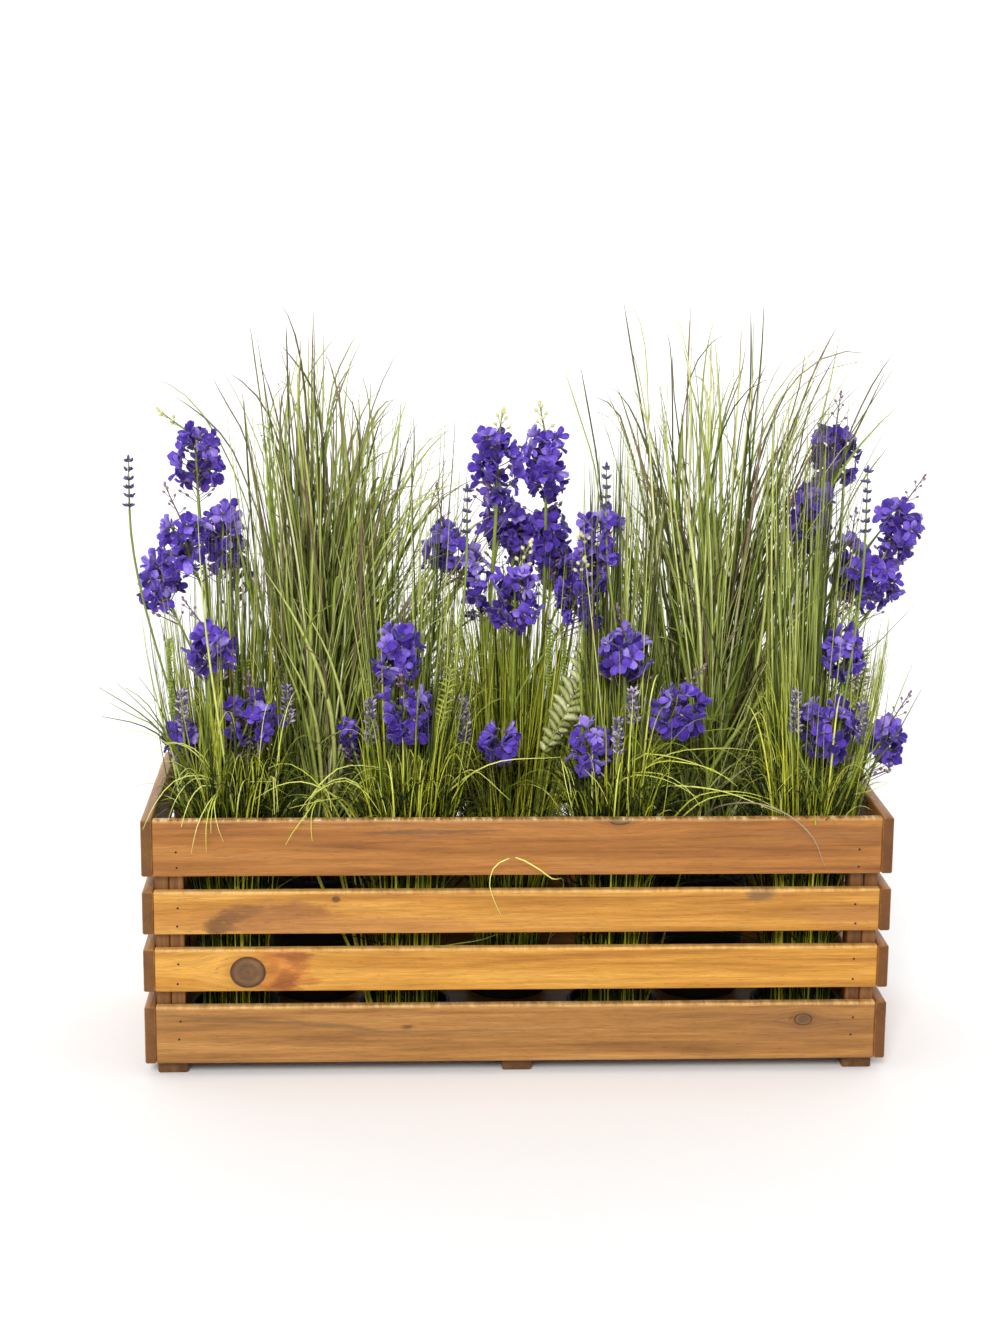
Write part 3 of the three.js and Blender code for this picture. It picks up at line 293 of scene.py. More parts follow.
# Thin blades of the tall grasses that end in an arc: each as places from where it leaves the
# others up to its tip.
ARCS = {
    "grass_tall_left": [
        [(-271, 30, 629), (-277, 45, 694), (-285, 60, 750), (-292, 75, 798)],
        [(-222, 30, 724), (-221, 45, 770), (-220, 60, 812)],
        [(-248, 30, 728), (-249, 45, 756), (-251, 60, 802)],
        [(-215, 30, 696), (-222, 45, 723), (-242, 60, 750), (-261, 75, 771)],
        [(-242, 30, 696), (-228, 45, 732), (-208, 60, 762), (-190, 75, 782)],
        [(-204, 30, 696), (-199, 45, 727), (-184, 60, 760), (-170, 75, 785)],
        [(-203, 30, 682), (-199, 45, 709), (-190, 60, 731), (-169, 75, 751)],
        [(-184, 30, 648), (-172, 45, 680), (-161, 60, 707), (-141, 75, 720)],
        [(-172, 30, 629), (-161, 45, 670), (-146, 60, 693), (-127, 75, 713)],
        [(-115, 30, 590), (-112, 45, 627), (-110, 60, 659), (-111, 75, 694)],
        [(-285, 30, 629), (-297, 45, 670), (-319, 60, 707), (-336, 75, 736)],
        [(-258, 30, 662), (-271, 45, 694), (-290, 60, 719), (-319, 75, 738)],
        [(-294, 30, 619), (-314, 45, 660), (-343, 60, 689), (-378, 75, 711)],
    ],
    "grass_tall_right": [
        [(147, 30, 656), (138, 45, 713), (128, 60, 771), (120, 75, 822)],
        [(189, 30, 726), (191, 45, 767), (194, 60, 819)],
        [(186, 30, 704), (195, 45, 740), (212, 60, 766), (238, 75, 784)],
        [(266, 30, 715), (272, 45, 772), (275, 60, 825)],
        [(255, 15, 690), (258, 30, 758), (258, 45, 815)],
        [(232, 30, 694), (249, 45, 735), (257, 60, 777)],
        [(287, 30, 640), (305, 45, 687), (319, 60, 734), (326, 75, 770)],
        [(303, 30, 661), (320, 45, 714), (342, 60, 761), (363, 75, 795)],
        [(314, 30, 651), (325, 45, 698), (346, 60, 739), (364, 75, 765)],
        [(355, 26, 620), (367, 30, 667), (380, 45, 693), (403, 60, 734), (427, 75, 764)],
        [(361, 30, 564), (378, 45, 601), (402, 60, 634), (425, 75, 658)],
        [(94, 30, 602), (89, 45, 638), (73, 60, 690), (54, 75, 748)],
        [(98, 25, 590), (90, 30, 650), (82, 45, 697), (72, 60, 752)],
        [(149, 30, 564), (140, 45, 616), (122, 60, 674), (101, 75, 723)],
        [(142, 30, 602), (126, 45, 665), (111, 60, 701), (84, 75, 713)],
        [(246, 30, 656), (255, 45, 703), (268, 60, 731), (290, 75, 743)],
    ],
}

TALL_BLADES = {"left": 1080, "right": 980}
TALL_ROOTS = 42.0  # how far from a plug's middle the blades start
TALL_LEAST = 335.0  # how high the tips are at least
TALL_TOP = {"left": 800.0, "right": 818.0}
TALL_FEW = {"left": 1.25, "right": 2.0}  # the larger, the fewer tips are near the top
TALL_SHIFT = {"left": 0.15, "right": 0.2}  # where along their lean most blades are
TALL_LEAN = {"left": (82.0, 200.0), "right": (126.0, 200.0)}  # to the left and to the right
TALL_FALL = {"left": (50.0, 150.0), "right": (70.0, 40.0)}  # how much lower the leaning tips are
TALL_DARK = {"left": 0.2, "right": 0.3}  # the share of dark blades
TALL_BACK, TALL_BACK_TIP = 186.0, 180.0  # how far back the blades and their tips go
WIDE_TOP = 630.0  # how high the wide blades reach
BROAD_LUCK = {"left": (0.6, 0.9), "right": (0.3, 0.6)}
TUFT_BLADES = 360
TUFT_ARCHES = 80
TUFT_ROOTS = 35.0
TUFT_LEAST = 330.0  # how high the lowest tips are over a tuft's middle
# How far above these the highest tips are.
TUFT_HEIGHT = {
    "left": 150.0, "mid_left": 150.0, "centre": 215.0, "mid_right": 165.0, "right": 150.0,
}
STRAND_POINTS = 26
HIGH_STRAND = 365  # a strand whose tip is above this is thicker and darker
# Straight thin blades that stand up out of each tuft: how many, where their tips are along X, and
# how high they reach.
STANDS = {
    "left": (420, -386, -252, 340, 520),
    "mid_left": (240, -172, -42, 340, 535),
    "centre": (350, -85, 112, 380, 570),
    "mid_right": (210, 62, 168, 340, 520),
    "right": (320, 264, 412, 340, 530),
}
LEAST_STAND = 305.0  # how high a stand's tips are at least, more for a tip out to one side
# Tall straight blades beside the clumps, given in the same way after the tuft they stand in, and
# how far behind the tuft's middle the foremost tips are.
RISERS = [
    ("left", 100, -362, -266, 400, 650, -40),
    ("left", 90, -382, -340, 350, 505, -40),
    ("left", 60, -402, -362, 460, 530, -20),
    ("left", 110, -342, -258, 460, 620, 20),
    ("mid_left", 165, -190, -52, 420, 720, 0),
    ("mid_right", 170, 66, 150, 400, 640, 0),
    ("mid_right", 90, 76, 122, 500, 690, 100),
    ("mid_right", 80, 108, 166, 540, 740, 40),
    ("right", 270, 272, 392, 420, 750, -40),
    ("right", 120, 316, 354, 520, 730, 20),
    ("right", 80, 370, 414, 330, 480, -40),
]
RISER_LUCK = 0.8  # the palest riser's colour on the ramp
# Thick bright blades that stand close together: the middle of each bundle along X, how many blades
# it has and how high it reaches.
SHEAVES = {
    "left": [(-316, 42, 500), (-345, 14, 400)],
    "mid_left": [(-160, 22, 400), (-126, 22, 360), (-86, 20, 410)],
    "centre": [(-29, 38, 520), (-6, 56, 540), (8, 34, 500), (22, 24, 420)],
    "mid_right": [(78, 20, 380), (100, 26, 430), (140, 20, 360)],
    "right": [(290, 34, 350), (318, 46, 400), (350, 40, 440)],
}
# The lucks and the shares of dark blades of the sheaves and stands that differ from the others'.
SHEAF_LUCK = {"centre": (0.8, 1.0), "right": (0.64, 1.0)}
OTHER_SHEAF_LUCK = (0.5, 0.92)
STAND_DARK = {"centre": 0.1, "right": 0.3}
OTHER_STAND_DARK = 0.45
STAND_POWER = {"centre": 0.55, "right": 0.85}  # the smaller, the brighter a stand's blades, else 1
SKIRT = 150  # dark blades that bend down round each low pot
# The shoots' dark colour is partly painted shade inside the box.
SHOOTS = 4200  # short dark blades in the whole box
INNER_X, INNER_Y = 386.0, 136.0  # how far out the shoots go
INNER_TIP_Y = 134.0  # how far out the tips of the tufts' other blades go
LOW_HEADS = 470  # the heads below this height are kept free of blades in front of them
SIGHT_FALL = 0.22  # how much a line of sight from the front falls for each step back

BLADE_FOLD = 0.16  # how far a blade's edges bend up, as a share of half its width
TURN = 2 * np.pi
random = np.random.default_rng(20240607)


def between(low, high, *shape):
    return random.uniform(low, high, shape or None)


# ---- meshes ----


class Net:
    """Points, four-cornered faces and growth marks that become one mesh.

    A mark is (how far along its blade or petal a point is, the blade's own luck, a kind).
    """

    def __init__(self):
        self.points, self.faces, self.marks, self.count = [], [], [], 0

    def add(self, points, faces, marks):
        points = np.asarray(points, float).reshape(-1, 3)
        self.points.append(points)
        self.faces.append(np.asarray(faces).reshape(-1, 4) + self.count)
        self.marks.append(np.broadcast_to(np.asarray(marks, float).reshape(-1, 3), points.shape))
        self.count += len(points)

    def loft(self, rings, marks):
        """Rings of points, as (strand, ring, point, xyz), joined into closed solids."""
        strands, length, around, _ = rings.shape
        index = np.arange(strands * length * around).reshape(strands, length, around)
        turned = np.roll(index, -1, axis=2)
        sides = np.stack([index[:, :-1], turned[:, :-1], turned[:, 1:], index[:, 1:]], axis=-1)
        i = np.arange(around // 2 - 1)
        cap = np.stack([i, i + 1, around - 2 - i, around - 1 - i], axis=-1)
        faces = [sides.reshape(-1, 4)]
        faces.append(index[:, -1][:, cap].reshape(-1, 4))
        faces.append(index[:, 0][:, cap[:, ::-1]].reshape(-1, 4))
        self.add(rings, np.concatenate(faces), marks)

    def make(self, name, material):
        points = np.concatenate(self.points) * MM
        mesh = bpy.data.meshes.new(name)
        mesh.from_pydata(points.tolist(), [], np.concatenate(self.faces).tolist())
        marks = mesh.attributes.new("grow", "FLOAT_VECTOR", "POINT")
        marks.data.foreach_set("vector", np.concatenate(self.marks).astype(np.float32).ravel())
        mesh.polygons.foreach_set("use_smooth", [True] * len(mesh.polygons))
        mesh.materials.append(material)
        made = bpy.data.objects.new(name, mesh)
        bpy.context.scene.collection.objects.link(made)
        return made


def piece(net, name, material, slot, *replaced):
    made = net.make(name, material)
    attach(made, "root")
    if replaced:
        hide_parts(*replaced)
    return made


def unit(vectors):
    return vectors / np.maximum(np.linalg.norm(vectors, axis=-1, keepdims=True), 1e-9)


def bezier(start, rise, crest, end, count):
    """Points along cubic curves, as (strand, point, xyz)."""
    t = np.linspace(0, 1, count)[None, :, None]
    s = 1 - t
    ends = [np.asarray(p, float).reshape(-1, 1, 3) for p in (start, rise, crest, end)]
    return s**3 * ends[0] + 3 * s * s * t * ends[1] + 3 * s * t * t * ends[2] + t**3 * ends[3]


def through(places, count):
    """A smooth way through the places, as (1, point, xyz)."""
    places = np.asarray(places, float)
    steps = np.linalg.norm(np.diff(places, axis=0), axis=1)
    at = np.concatenate([[0], np.cumsum(steps)])
    slopes = np.gradient(places, at, axis=0)
    where = np.linspace(0, at[-1], count)
    part = np.clip(np.searchsorted(at, where, side="right") - 1, 0, len(steps) - 1)
    step = steps[part][:, None]
    t = ((where - at[part]) / steps[part])[:, None]
    start, end = places[part], places[part + 1]
    way = (2 * t**3 - 3 * t**2 + 1) * start + (t**3 - 2 * t**2 + t) * step * slopes[part]
    way += (3 * t**2 - 2 * t**3) * end + (t**3 - t**2) * step * slopes[part + 1]
    return way[None]


def at_height(way, heights):
    """The places on a rising way at the given heights, or at its ends."""
    return np.stack([np.interp(heights, way[:, 2], way[:, i]) for i in range(3)], axis=-1)


def flat_and_climb(roots, tips):
    """The part of each way from root to tip that is level, and the part that is upright."""
    run = tips - roots
    return run * [1, 1, 0], run * [0, 0, 1]


def outward(angles):
    """Level directions at the angles."""
    return np.column_stack([np.cos(angles), np.sin(angles), np.zeros(len(angles))])


def ring_angles(count):
    return np.arange(count) * TURN / count


def frames(ways, side):
    """The direction along, across and out of each point of the ways."""
    along = unit(np.gradient(ways, axis=1))
    across = unit(side - (side * along).sum(-1, keepdims=True) * along)
    return along, across, np.cross(along, across)


def side_of(ways):
    """A direction across each way: X, or Y where the way runs along X."""
    run = unit(ways[:, -1] - ways[:, 0])
    return np.where(np.abs(run[:, :1]) > 0.7, [[0.0, 1.0, 0.0]], [[1.0, 0.0, 0.0]])[:, None]


def spread(ways, lucks, kinds, around):
    """Growth marks for lofted ways."""
    strands, length = ways.shape[:2]
    marks = np.zeros((strands, length, around, 3))
    marks[..., 0] = np.linspace(0, 1, length)[None, :, None]
    marks[..., 1] = np.broadcast_to(lucks, strands)[:, None, None]
    marks[..., 2] = np.broadcast_to(kinds, strands)[:, None, None]
    return marks


def add_rings(net, ways, reach, around, lucks, kinds):
    """A round solid along each way; reach is its radius at each point."""
    _, across, out = frames(ways, side_of(ways))
    angles = ring_angles(around)
    ring = across[:, :, None] * np.cos(angles)[:, None] + out[:, :, None] * np.sin(angles)[:, None]
    rings = ways[:, :, None] + reach[..., None, None] * ring
    net.loft(rings, spread(ways, lucks, kinds, around))


def add_tubes(net, ways, radii, around, lucks, kinds=0.0):
    """Round stems along the ways; radii is a number or one for each point."""
    ways = np.asarray(ways, float)
    if ways.ndim == 2:
        ways = ways[None]
    add_rings(net, ways, np.broadcast_to(radii, ways.shape[:2]), around, lucks, kinds)


def add_beads(net, starts, directions, lengths, radii, lucks, around=6):
    """Small buds: pointed ovals from their starts along their directions."""
    starts = np.asarray(starts, float).reshape(-1, 3)
    directions = unit(np.asarray(directions, float).reshape(-1, 3))
    profile = np.array([[0, 0.3], [0.18, 0.85], [0.45, 1], [0.75, 0.72], [0.95, 0.25], [1, 0.06]])
    lengths = np.broadcast_to(lengths, len(starts))[:, None, None]
    ways = starts[:, None] + directions[:, None] * profile[None, :, :1] * lengths
    reach = np.broadcast_to(radii, len(starts))[:, None] * profile[None, :, 1]
    add_rings(net, ways, reach, around, lucks, 0.0)


def add_blades(net, ways, widths, facing, lucks, kinds, thick=0.3, twist=None, taper=2.4):
    """Grass blades along the ways: folded along the middle, narrow at the root, pointed at the tip.

    The larger the taper, the nearer to the tip a blade keeps its width.
    """
    strands, length = ways.shape[:2]
    s = np.linspace(0, 1, length)
    shape = np.minimum(0.62 + 1.3 * s, 1) * np.minimum(1, (1 - s) * taper + 0.02) ** 0.8
    side = np.stack([-np.sin(facing), np.cos(facing), np.zeros(strands)], -1)[:, None]
    _, across, out = frames(ways, side)
    if twist is not None:
        turn = (np.asarray(twist)[:, None] * s)[..., None]
        across, out = (
            across * np.cos(turn) + out * np.sin(turn),
            out * np.cos(turn) - across * np.sin(turn),
        )
    half = (np.asarray(widths)[:, None] * shape)[..., None] / 2
    deep = np.maximum(thick * np.minimum(1, half), 0.06)
    fold = out * half * BLADE_FOLD
    rings = [
        ways + across * half + fold,
        ways + out * deep,
        ways - across * half + fold,
        ways - out * deep,
    ]
    net.loft(np.stack(rings, axis=2), spread(ways, lucks, kinds, 4))


# ---- materials ----

KNOT_DEPTH = 60.0


class Shade:
    """A material's nodes. Each call adds a node and gives its result."""

    def __init__(self, name):
        self.material = bpy.data.materials.new(name)
        self.material.use_nodes = True
        self.tree = self.material.node_tree
        self.surface = self.tree.nodes["Principled BSDF"]

    def put(self, socket, value):
        if isinstance(value, bpy.types.NodeSocket):
            self.tree.links.new(value, socket)
        else:
            socket.default_value = value

    def node(self, kind, result=0, values=(), **settings):
        made = self.tree.nodes.new(kind)
        for key, value in settings.items():
            setattr(made, key, value)
        for key, value in dict(values).items():
            self.put(made.inputs[key], value)
        return made.outputs[result]

    def mark(self, name):
        return self.node("ShaderNodeAttribute", "Vector", attribute_name=name)

    def split(self, vector):
        made = self.node("ShaderNodeSeparateXYZ", 0, {0: vector}).node
        return made.outputs[0], made.outputs[1], made.outputs[2]

    def math(self, operation, *values):
        return self.node("ShaderNodeMath", 0, enumerate(values), operation=operation)

    def vector(self, operation, *values, result=0):
        values = dict(enumerate(values))
        return self.node("ShaderNodeVectorMath", result, values, operation=operation)

    def add(self, *values):
        return self.math("ADD", *values)

    def less(self, *values):
        return self.math("SUBTRACT", *values)

    def times(self, *values):
        return self.math("MULTIPLY", *values)

    def size(self, value):
        return self.math("ABSOLUTE", value)

    def swing(self, share, reach):
        """A share of 0 to 1 turned to a value about zero."""
        return self.times(self.less(share, 0.5), reach)

    def scaled(self, place, scale):
        return self.vector("MULTIPLY", place, scale)

    def length(self, vector, reach):
        """A vector's length, counted in the reach along each direction."""
        return self.vector("LENGTH", self.vector("DIVIDE", vector, reach), result=1)

    def object_place(self):
        return self.node("ShaderNodeTexCoord", "Object")

    def noise(self, place, scale, detail=2.0, roughness=0.5, distortion=0.0):
        values = {"Vector": place, "Scale": scale, "Detail": detail,
                  "Roughness": roughness, "Distortion": distortion}
        return self.node("ShaderNodeTexNoise", 0, values)

    def between(self, value, low, high, to_low=0.0, to_high=1.0):
        values = {0: value, 1: low, 2: high, 3: to_low, 4: to_high}
        return self.node("ShaderNodeMapRange", 0, values, interpolation_type="SMOOTHSTEP")

    def ramp(self, value, stops):
        socket = self.node("ShaderNodeValToRGB", 0, {0: value})
        elements = socket.node.color_ramp.elements
        while len(elements) < len(stops):
            elements.new(0.5)
        for element, (place, colour) in zip(elements, stops):
            element.position = place
            element.color = colour_of(colour)
        return socket

    def mix(self, share, low, high, blend="MIX"):
        made = self.tree.nodes.new("ShaderNodeMix")
        made.data_type, made.blend_type = "RGBA", blend
        self.put(made.inputs[0], share)
        for socket, value in ((made.inputs[6], low), (made.inputs[7], high)):
            self.put(socket, value if isinstance(value, bpy.types.NodeSocket) else colour_of(value))
        return made.outputs[2]

    def lit(self, colour, light):
        """The colour times a share of light."""
        shading = self.node("ShaderNodeCombineColor", 0, {0: light, 1: light, 2: light})
        return self.mix(1.0, colour, shading, "MULTIPLY")

    def bump(self, height, distance, strength):
        values = {"Height": height, "Distance": distance, "Strength": strength}
        self.put(self.surface.inputs["Normal"], self.node("ShaderNodeBump", 0, values))

    def finish(self, colour, roughness, **constants):
        self.put(self.surface.inputs["Base Color"], colour)
        self.put(self.surface.inputs["Roughness"], roughness)
        for name, value in constants.items():
            self.surface.inputs[name.replace("_", " ")].default_value = value
        return self.material


def colour_of(colour):
    """A colour given as 0 to 255 for red, green and blue, as the shader's own light values."""
    shares = [value / 255 for value in colour]
    light = [s / 12.92 if s <= 0.04045 else ((s + 0.055) / 1.055) ** 2.4 for s in shares]
    return (*light, 1.0)


def patched(shade, grain, colour, patch, dark, strength):
    """A ragged patch of another colour."""
    u, v, ru, rv = patch
    off = shade.vector("SUBTRACT", grain, (u, v, 0))
    ragged = shade.noise(shade.scaled(grain, (0.5, 1, 1)), 0.14, 3, 0.6)
    away = shade.add(shade.length(off, (ru, rv, KNOT_DEPTH)), shade.times(ragged, 1.3))
    return shade.mix(shade.between(away, 1.1, 1.85, strength, 0.0), colour, dark)


def knotted(shade, grain, colour, near, dark):
    """A knot: its ringed core where near is below 1, in a halo of darker wood."""
    wobble = shade.noise(grain, 0.12, 2)
    ring = shade.math("SINE", shade.times(shade.add(near, wobble), 19))
    core = shade.ramp(near, [(0, (84, 50, 34)), (0.18, (114, 78, 50)), (0.45, (98, 72, 50)),
                             (0.7, (122, 88, 56)), (0.86, (98, 70, 42)), (0.95, (60, 36, 18)),
                             (1, (90, 54, 24))])
    core = shade.mix(shade.between(ring, -1, 1, 0, 0.4), core, (100, 72, 44))
    colour = shade.mix(shade.between(near, 0.95, 1.9, 0.5, 0.0), colour, dark)
    return shade.mix(shade.between(near, 0.97, 1.05, 1.0, 0.0), colour, core)


def lined(shade, grain, colour, line, dark, thickness):
    """A thin swaying line that climbs slowly across the board."""
    u, v, climb, reach = line
    x, y, _ = shade.split(grain)
    along = shade.math("DIVIDE", shade.less(x, u), reach)
    sway = shade.noise(shade.scaled(grain, (1, 0, 0)), 0.02, 2)
    middle = shade.add(shade.times(along, climb), shade.swing(sway, 6))
    gap = shade.size(shade.less(shade.less(y, v), middle))
    share = shade.between(gap, 0, thickness, 0.85, 0.0)
    share = shade.times(share, shade.between(shade.size(along), 0.7, 1.0, 1, 0))
    return shade.mix(share, colour, dark)


def worn_and_lit_edge(shade, grain, colour, own, half, chips_and_glints):
    """A slat's upper edge: a painted highlight along its rounded top, pale spots that are partly
    chips and partly painted highlight, and dark spots of chips.
    """
    _, y, _ = shade.split(grain)
    place = shade.vector("ADD", shade.scaled(grain, (1, 0.2, 0.2)), (310 * own, 0, 0))
    wear_and_sheen = shade.noise(place, 0.11, 4, 0.8)
    # Painted highlight: a lighter band along the rounded top edge, broken up by noise.
    painted_highlight = shade.between(wear_and_sheen, 0.3, 0.65, 0.1, 0.6 - 0.35 * chips_and_glints)
    painted_highlight = shade.times(shade.between(y, half - 4.5, half - 1.5), painted_highlight)
    colour = shade.mix(painted_highlight, colour, (240, 196, 122))
    near = shade.between(y, half - 1.5, half - 0.6)
    # Pale spots on the very edge: partly chips, partly painted highlight.
    pale = shade.times(near, shade.between(wear_and_sheen, 0.5, 0.64, 0, chips_and_glints))
    colour = shade.mix(pale, colour, (246, 218, 168))
    dark = shade.times(near, shade.between(wear_and_sheen, 0.46, 0.36, 0, 0.9 * chips_and_glints))
    return shade.mix(dark, colour, (112, 74, 42))


def wood(name, tones, knots=(), patches=(), lines=(), own=0.0, end=None, edge=None):
    """Oiled acacia. Grain runs along the board's first direction.

    tones are its dark, middle and light colours; a knot is (along, across, reach along, reach
    across) in millimetres on the board; a patch is the same with a colour and a strength; a line
    is (along, across, climb, reach) with a colour and a thickness. The end is half the board's
    length and a colour, the edge is half its height and how much it has chips and glints; the edge
    gets a painted highlight.
    """
    shade = Shade(name)
    grain = shade.mark("grain")
    flow = grain
    inside = []
    for u, v, ru, rv in knots:
        off = shade.vector("SUBTRACT", grain, (u, v, 0))
        inside.append(shade.length(off, (ru, rv, KNOT_DEPTH)))
        wide = shade.length(off, (2.6 * ru, 1.5 * rv, 1.5 * KNOT_DEPTH))
        held = shade.math("DIVIDE", 1, shade.add(1, shade.math("POWER", wide, 4)))
        pull = shade.scaled(off, (0, 0.95, 0))
        pull = shade.node("ShaderNodeVectorMath", 0, {0: pull, "Scale": held}, operation="SCALE")
        flow = shade.vector("SUBTRACT", flow, pull)
    slow = shade.scaled(flow, (0.045, 1, 1))
    slow = shade.vector("ADD", slow, (own, 37 * own, 11 * own))
    bands = shade.noise(slow, 0.055, 3, 0.55, 0.6)
    colour = shade.ramp(bands, [(0.3, tones[0]), (0.5, tones[1]), (0.7, tones[2])])
    rings = shade.noise(slow, 0.32, 2, 0.5, 0.3)
    ridge = shade.between(shade.size(shade.less(rings, 0.5)), 0.0, 0.05, 1.0, 0.0)
    colour = shade.mix(shade.times(ridge, 0.22), colour, tones[0])
    mottle = shade.noise(shade.scaled(grain, (0.25, 1, 1)), 0.035, 3, 0.6)
    colour = shade.mix(shade.between(mottle, 0.35, 0.75, 0.0, 0.4), colour, tones[1])
    fibres = shade.noise(shade.scaled(flow, (0.03, 1, 1)), 1.6, 3, 0.7)
    streaks = shade.noise(shade.scaled(flow, (0.035, 1, 1)), 0.42, 4, 0.65)
    light = shade.times(shade.between(fibres, 0.3, 0.7, 0.86, 1.1),
                        shade.between(streaks, 0.3, 0.7, 0.84, 1.13))
    pores = shade.noise(shade.scaled(flow, (0.09, 1, 1)), 1.1, 1, 0.5)
    pore = shade.between(pores, 0.66, 0.74)
    for patch in patches:
        colour = patched(shade, grain, colour, *patch)
    for near in inside:
        colour = knotted(shade, grain, colour, near, tones[0])
    for line in lines:
        colour = lined(shade, grain, colour, *line)
    # The upper edge gets a painted highlight and spots of chips.
    if edge:
        colour = worn_and_lit_edge(shade, grain, colour, own, *edge)
    if end:
        half, dark = end
        x, _, _ = shade.split(grain)
        share = shade.between(shade.size(x), half - 0.7, half - 0.2, 0.0, 0.85)
        colour = shade.mix(share, colour, dark)
    colour = shade.lit(colour, light)
    darker = tuple(0.55 * c for c in tones[0])
    colour = shade.mix(shade.times(pore, 0.35), colour, darker)
    shade.bump(shade.less(shade.times(fibres, 0.5), pore), 0.00012, 0.5)
    roughness = shade.between(fibres, 0.3, 0.7, 0.36, 0.5)
    return shade.finish(colour, roughness, Specular_IOR_Level=0.28)


def plain(name, stops, roughness, speckle=0.12, scale=260, **constants):
    """A colour for each stem's or bud's luck, with speckles."""
    shade = Shade(name)
    _, luck, _ = shade.split(shade.mark("grow"))
    spots = shade.noise(shade.object_place(), scale, 2)
    light = shade.between(spots, 0.3, 0.7, 1 - speckle, 1 + speckle)
    shade.bump(spots, 0.0002, 0.4)
    return shade.finish(shade.lit(shade.ramp(luck, stops), light), roughness, **constants)


def leaf(name, stops, base, tip, least=-1.0):
    """Grass: a colour for each blade's luck, with a painted root colour and another colour towards
    the tip. The root colour is painted shade that darkens tall blades and shoots low down, and
    painted light that brightens a tuft's blades low down in the box.

    Blades with less luck than the least keep their colour at the root.
    """
    shade = Shade(name)
    along, luck, kind = shade.split(shade.mark("grow"))
    streaks = shade.noise(shade.scaled(shade.object_place(), (1, 1, 0.04)), 900, 2)
    low, high, painted_root_shading = base
    # Painted shading towards the root: each blade's lower part mixes towards the root colour.
    share = shade.times(shade.between(along, low, high, 0.75, 0.0),
                        shade.between(luck, least, least + 0.4))
    colour = shade.mix(share, shade.ramp(luck, stops), painted_root_shading)
    start, end, tinted = tip
    reach = shade.add(along, shade.less(kind, 1))
    colour = shade.mix(shade.between(reach, start, end, 0.0, 0.9), colour, tinted)
    colour = shade.lit(colour, shade.between(streaks, 0.3, 0.7, 0.82, 1.16))
    shade.bump(streaks, 0.0001, 0.5)
    return shade.finish(
        colour, 0.42, Specular_IOR_Level=0.35,
        Subsurface_Weight=0.15, Subsurface_Radius=(0.8, 1.0, 0.3), Subsurface_Scale=0.003,
    )


def petal_finish():
    """Velvety violet-blue: darker in the throat as painted shade, lighter and bluer at the brim as a
    painted highlight, finely veined.
    """
    shade = Shade("petals")
    along, luck, across = shade.split(shade.mark("grow"))
    patchy = shade.noise(shade.object_place(), 110, 2)
    tone = shade.add(luck, shade.swing(patchy, 0.7))
    colour = shade.ramp(tone, [(0.0, (42, 20, 95)), (0.25, (65, 36, 143)), (0.5, (94, 60, 185)),
                               (0.78, (130, 100, 218)), (1.0, (172, 148, 236))])
    # Painted shade: darker in the floret's throat.
    colour = shade.mix(shade.between(along, 0.0, 0.4, 0.65, 0.0), colour, (60, 42, 102))
    edge = shade.times(shade.size(across), along)
    # Painted highlight: lighter, bluer petal rims.
    colour = shade.mix(shade.between(edge, 0.45, 1.0, 0.0, 0.3), colour, (132, 112, 226))
    veins = {0: shade.times(across, 5), 1: along, 2: luck}
    veined = shade.noise(shade.node("ShaderNodeCombineXYZ", 0, veins), 2.4, 2)
    colour = shade.lit(colour, shade.between(veined, 0.3, 0.7, 0.78, 1.18))
    shade.bump(veined, 0.0004, 0.5)
    return shade.finish(
        colour, 0.55, Sheen_Weight=0.3, Sheen_Roughness=0.4, Specular_IOR_Level=0.25,
        Subsurface_Weight=0.1, Subsurface_Radius=(0.6, 0.4, 1.0), Subsurface_Scale=0.003,
    )


REDDISH = [(124, 76, 36), (166, 108, 50), (186, 128, 66)]
GOLDEN = [(148, 92, 32), (194, 136, 56), (222, 168, 84)]
YELLOW = [(162, 104, 36), (200, 142, 56), (226, 170, 80)]
TAN = [(116, 76, 36), (164, 114, 58), (192, 140, 78)]
BROWN = [(86, 54, 26), (128, 86, 46), (158, 110, 62)]
# Darker tones for the floor inside the box: painted shade.
INNER_SHADED = [(60, 38, 18), (92, 60, 30), (120, 80, 42)]
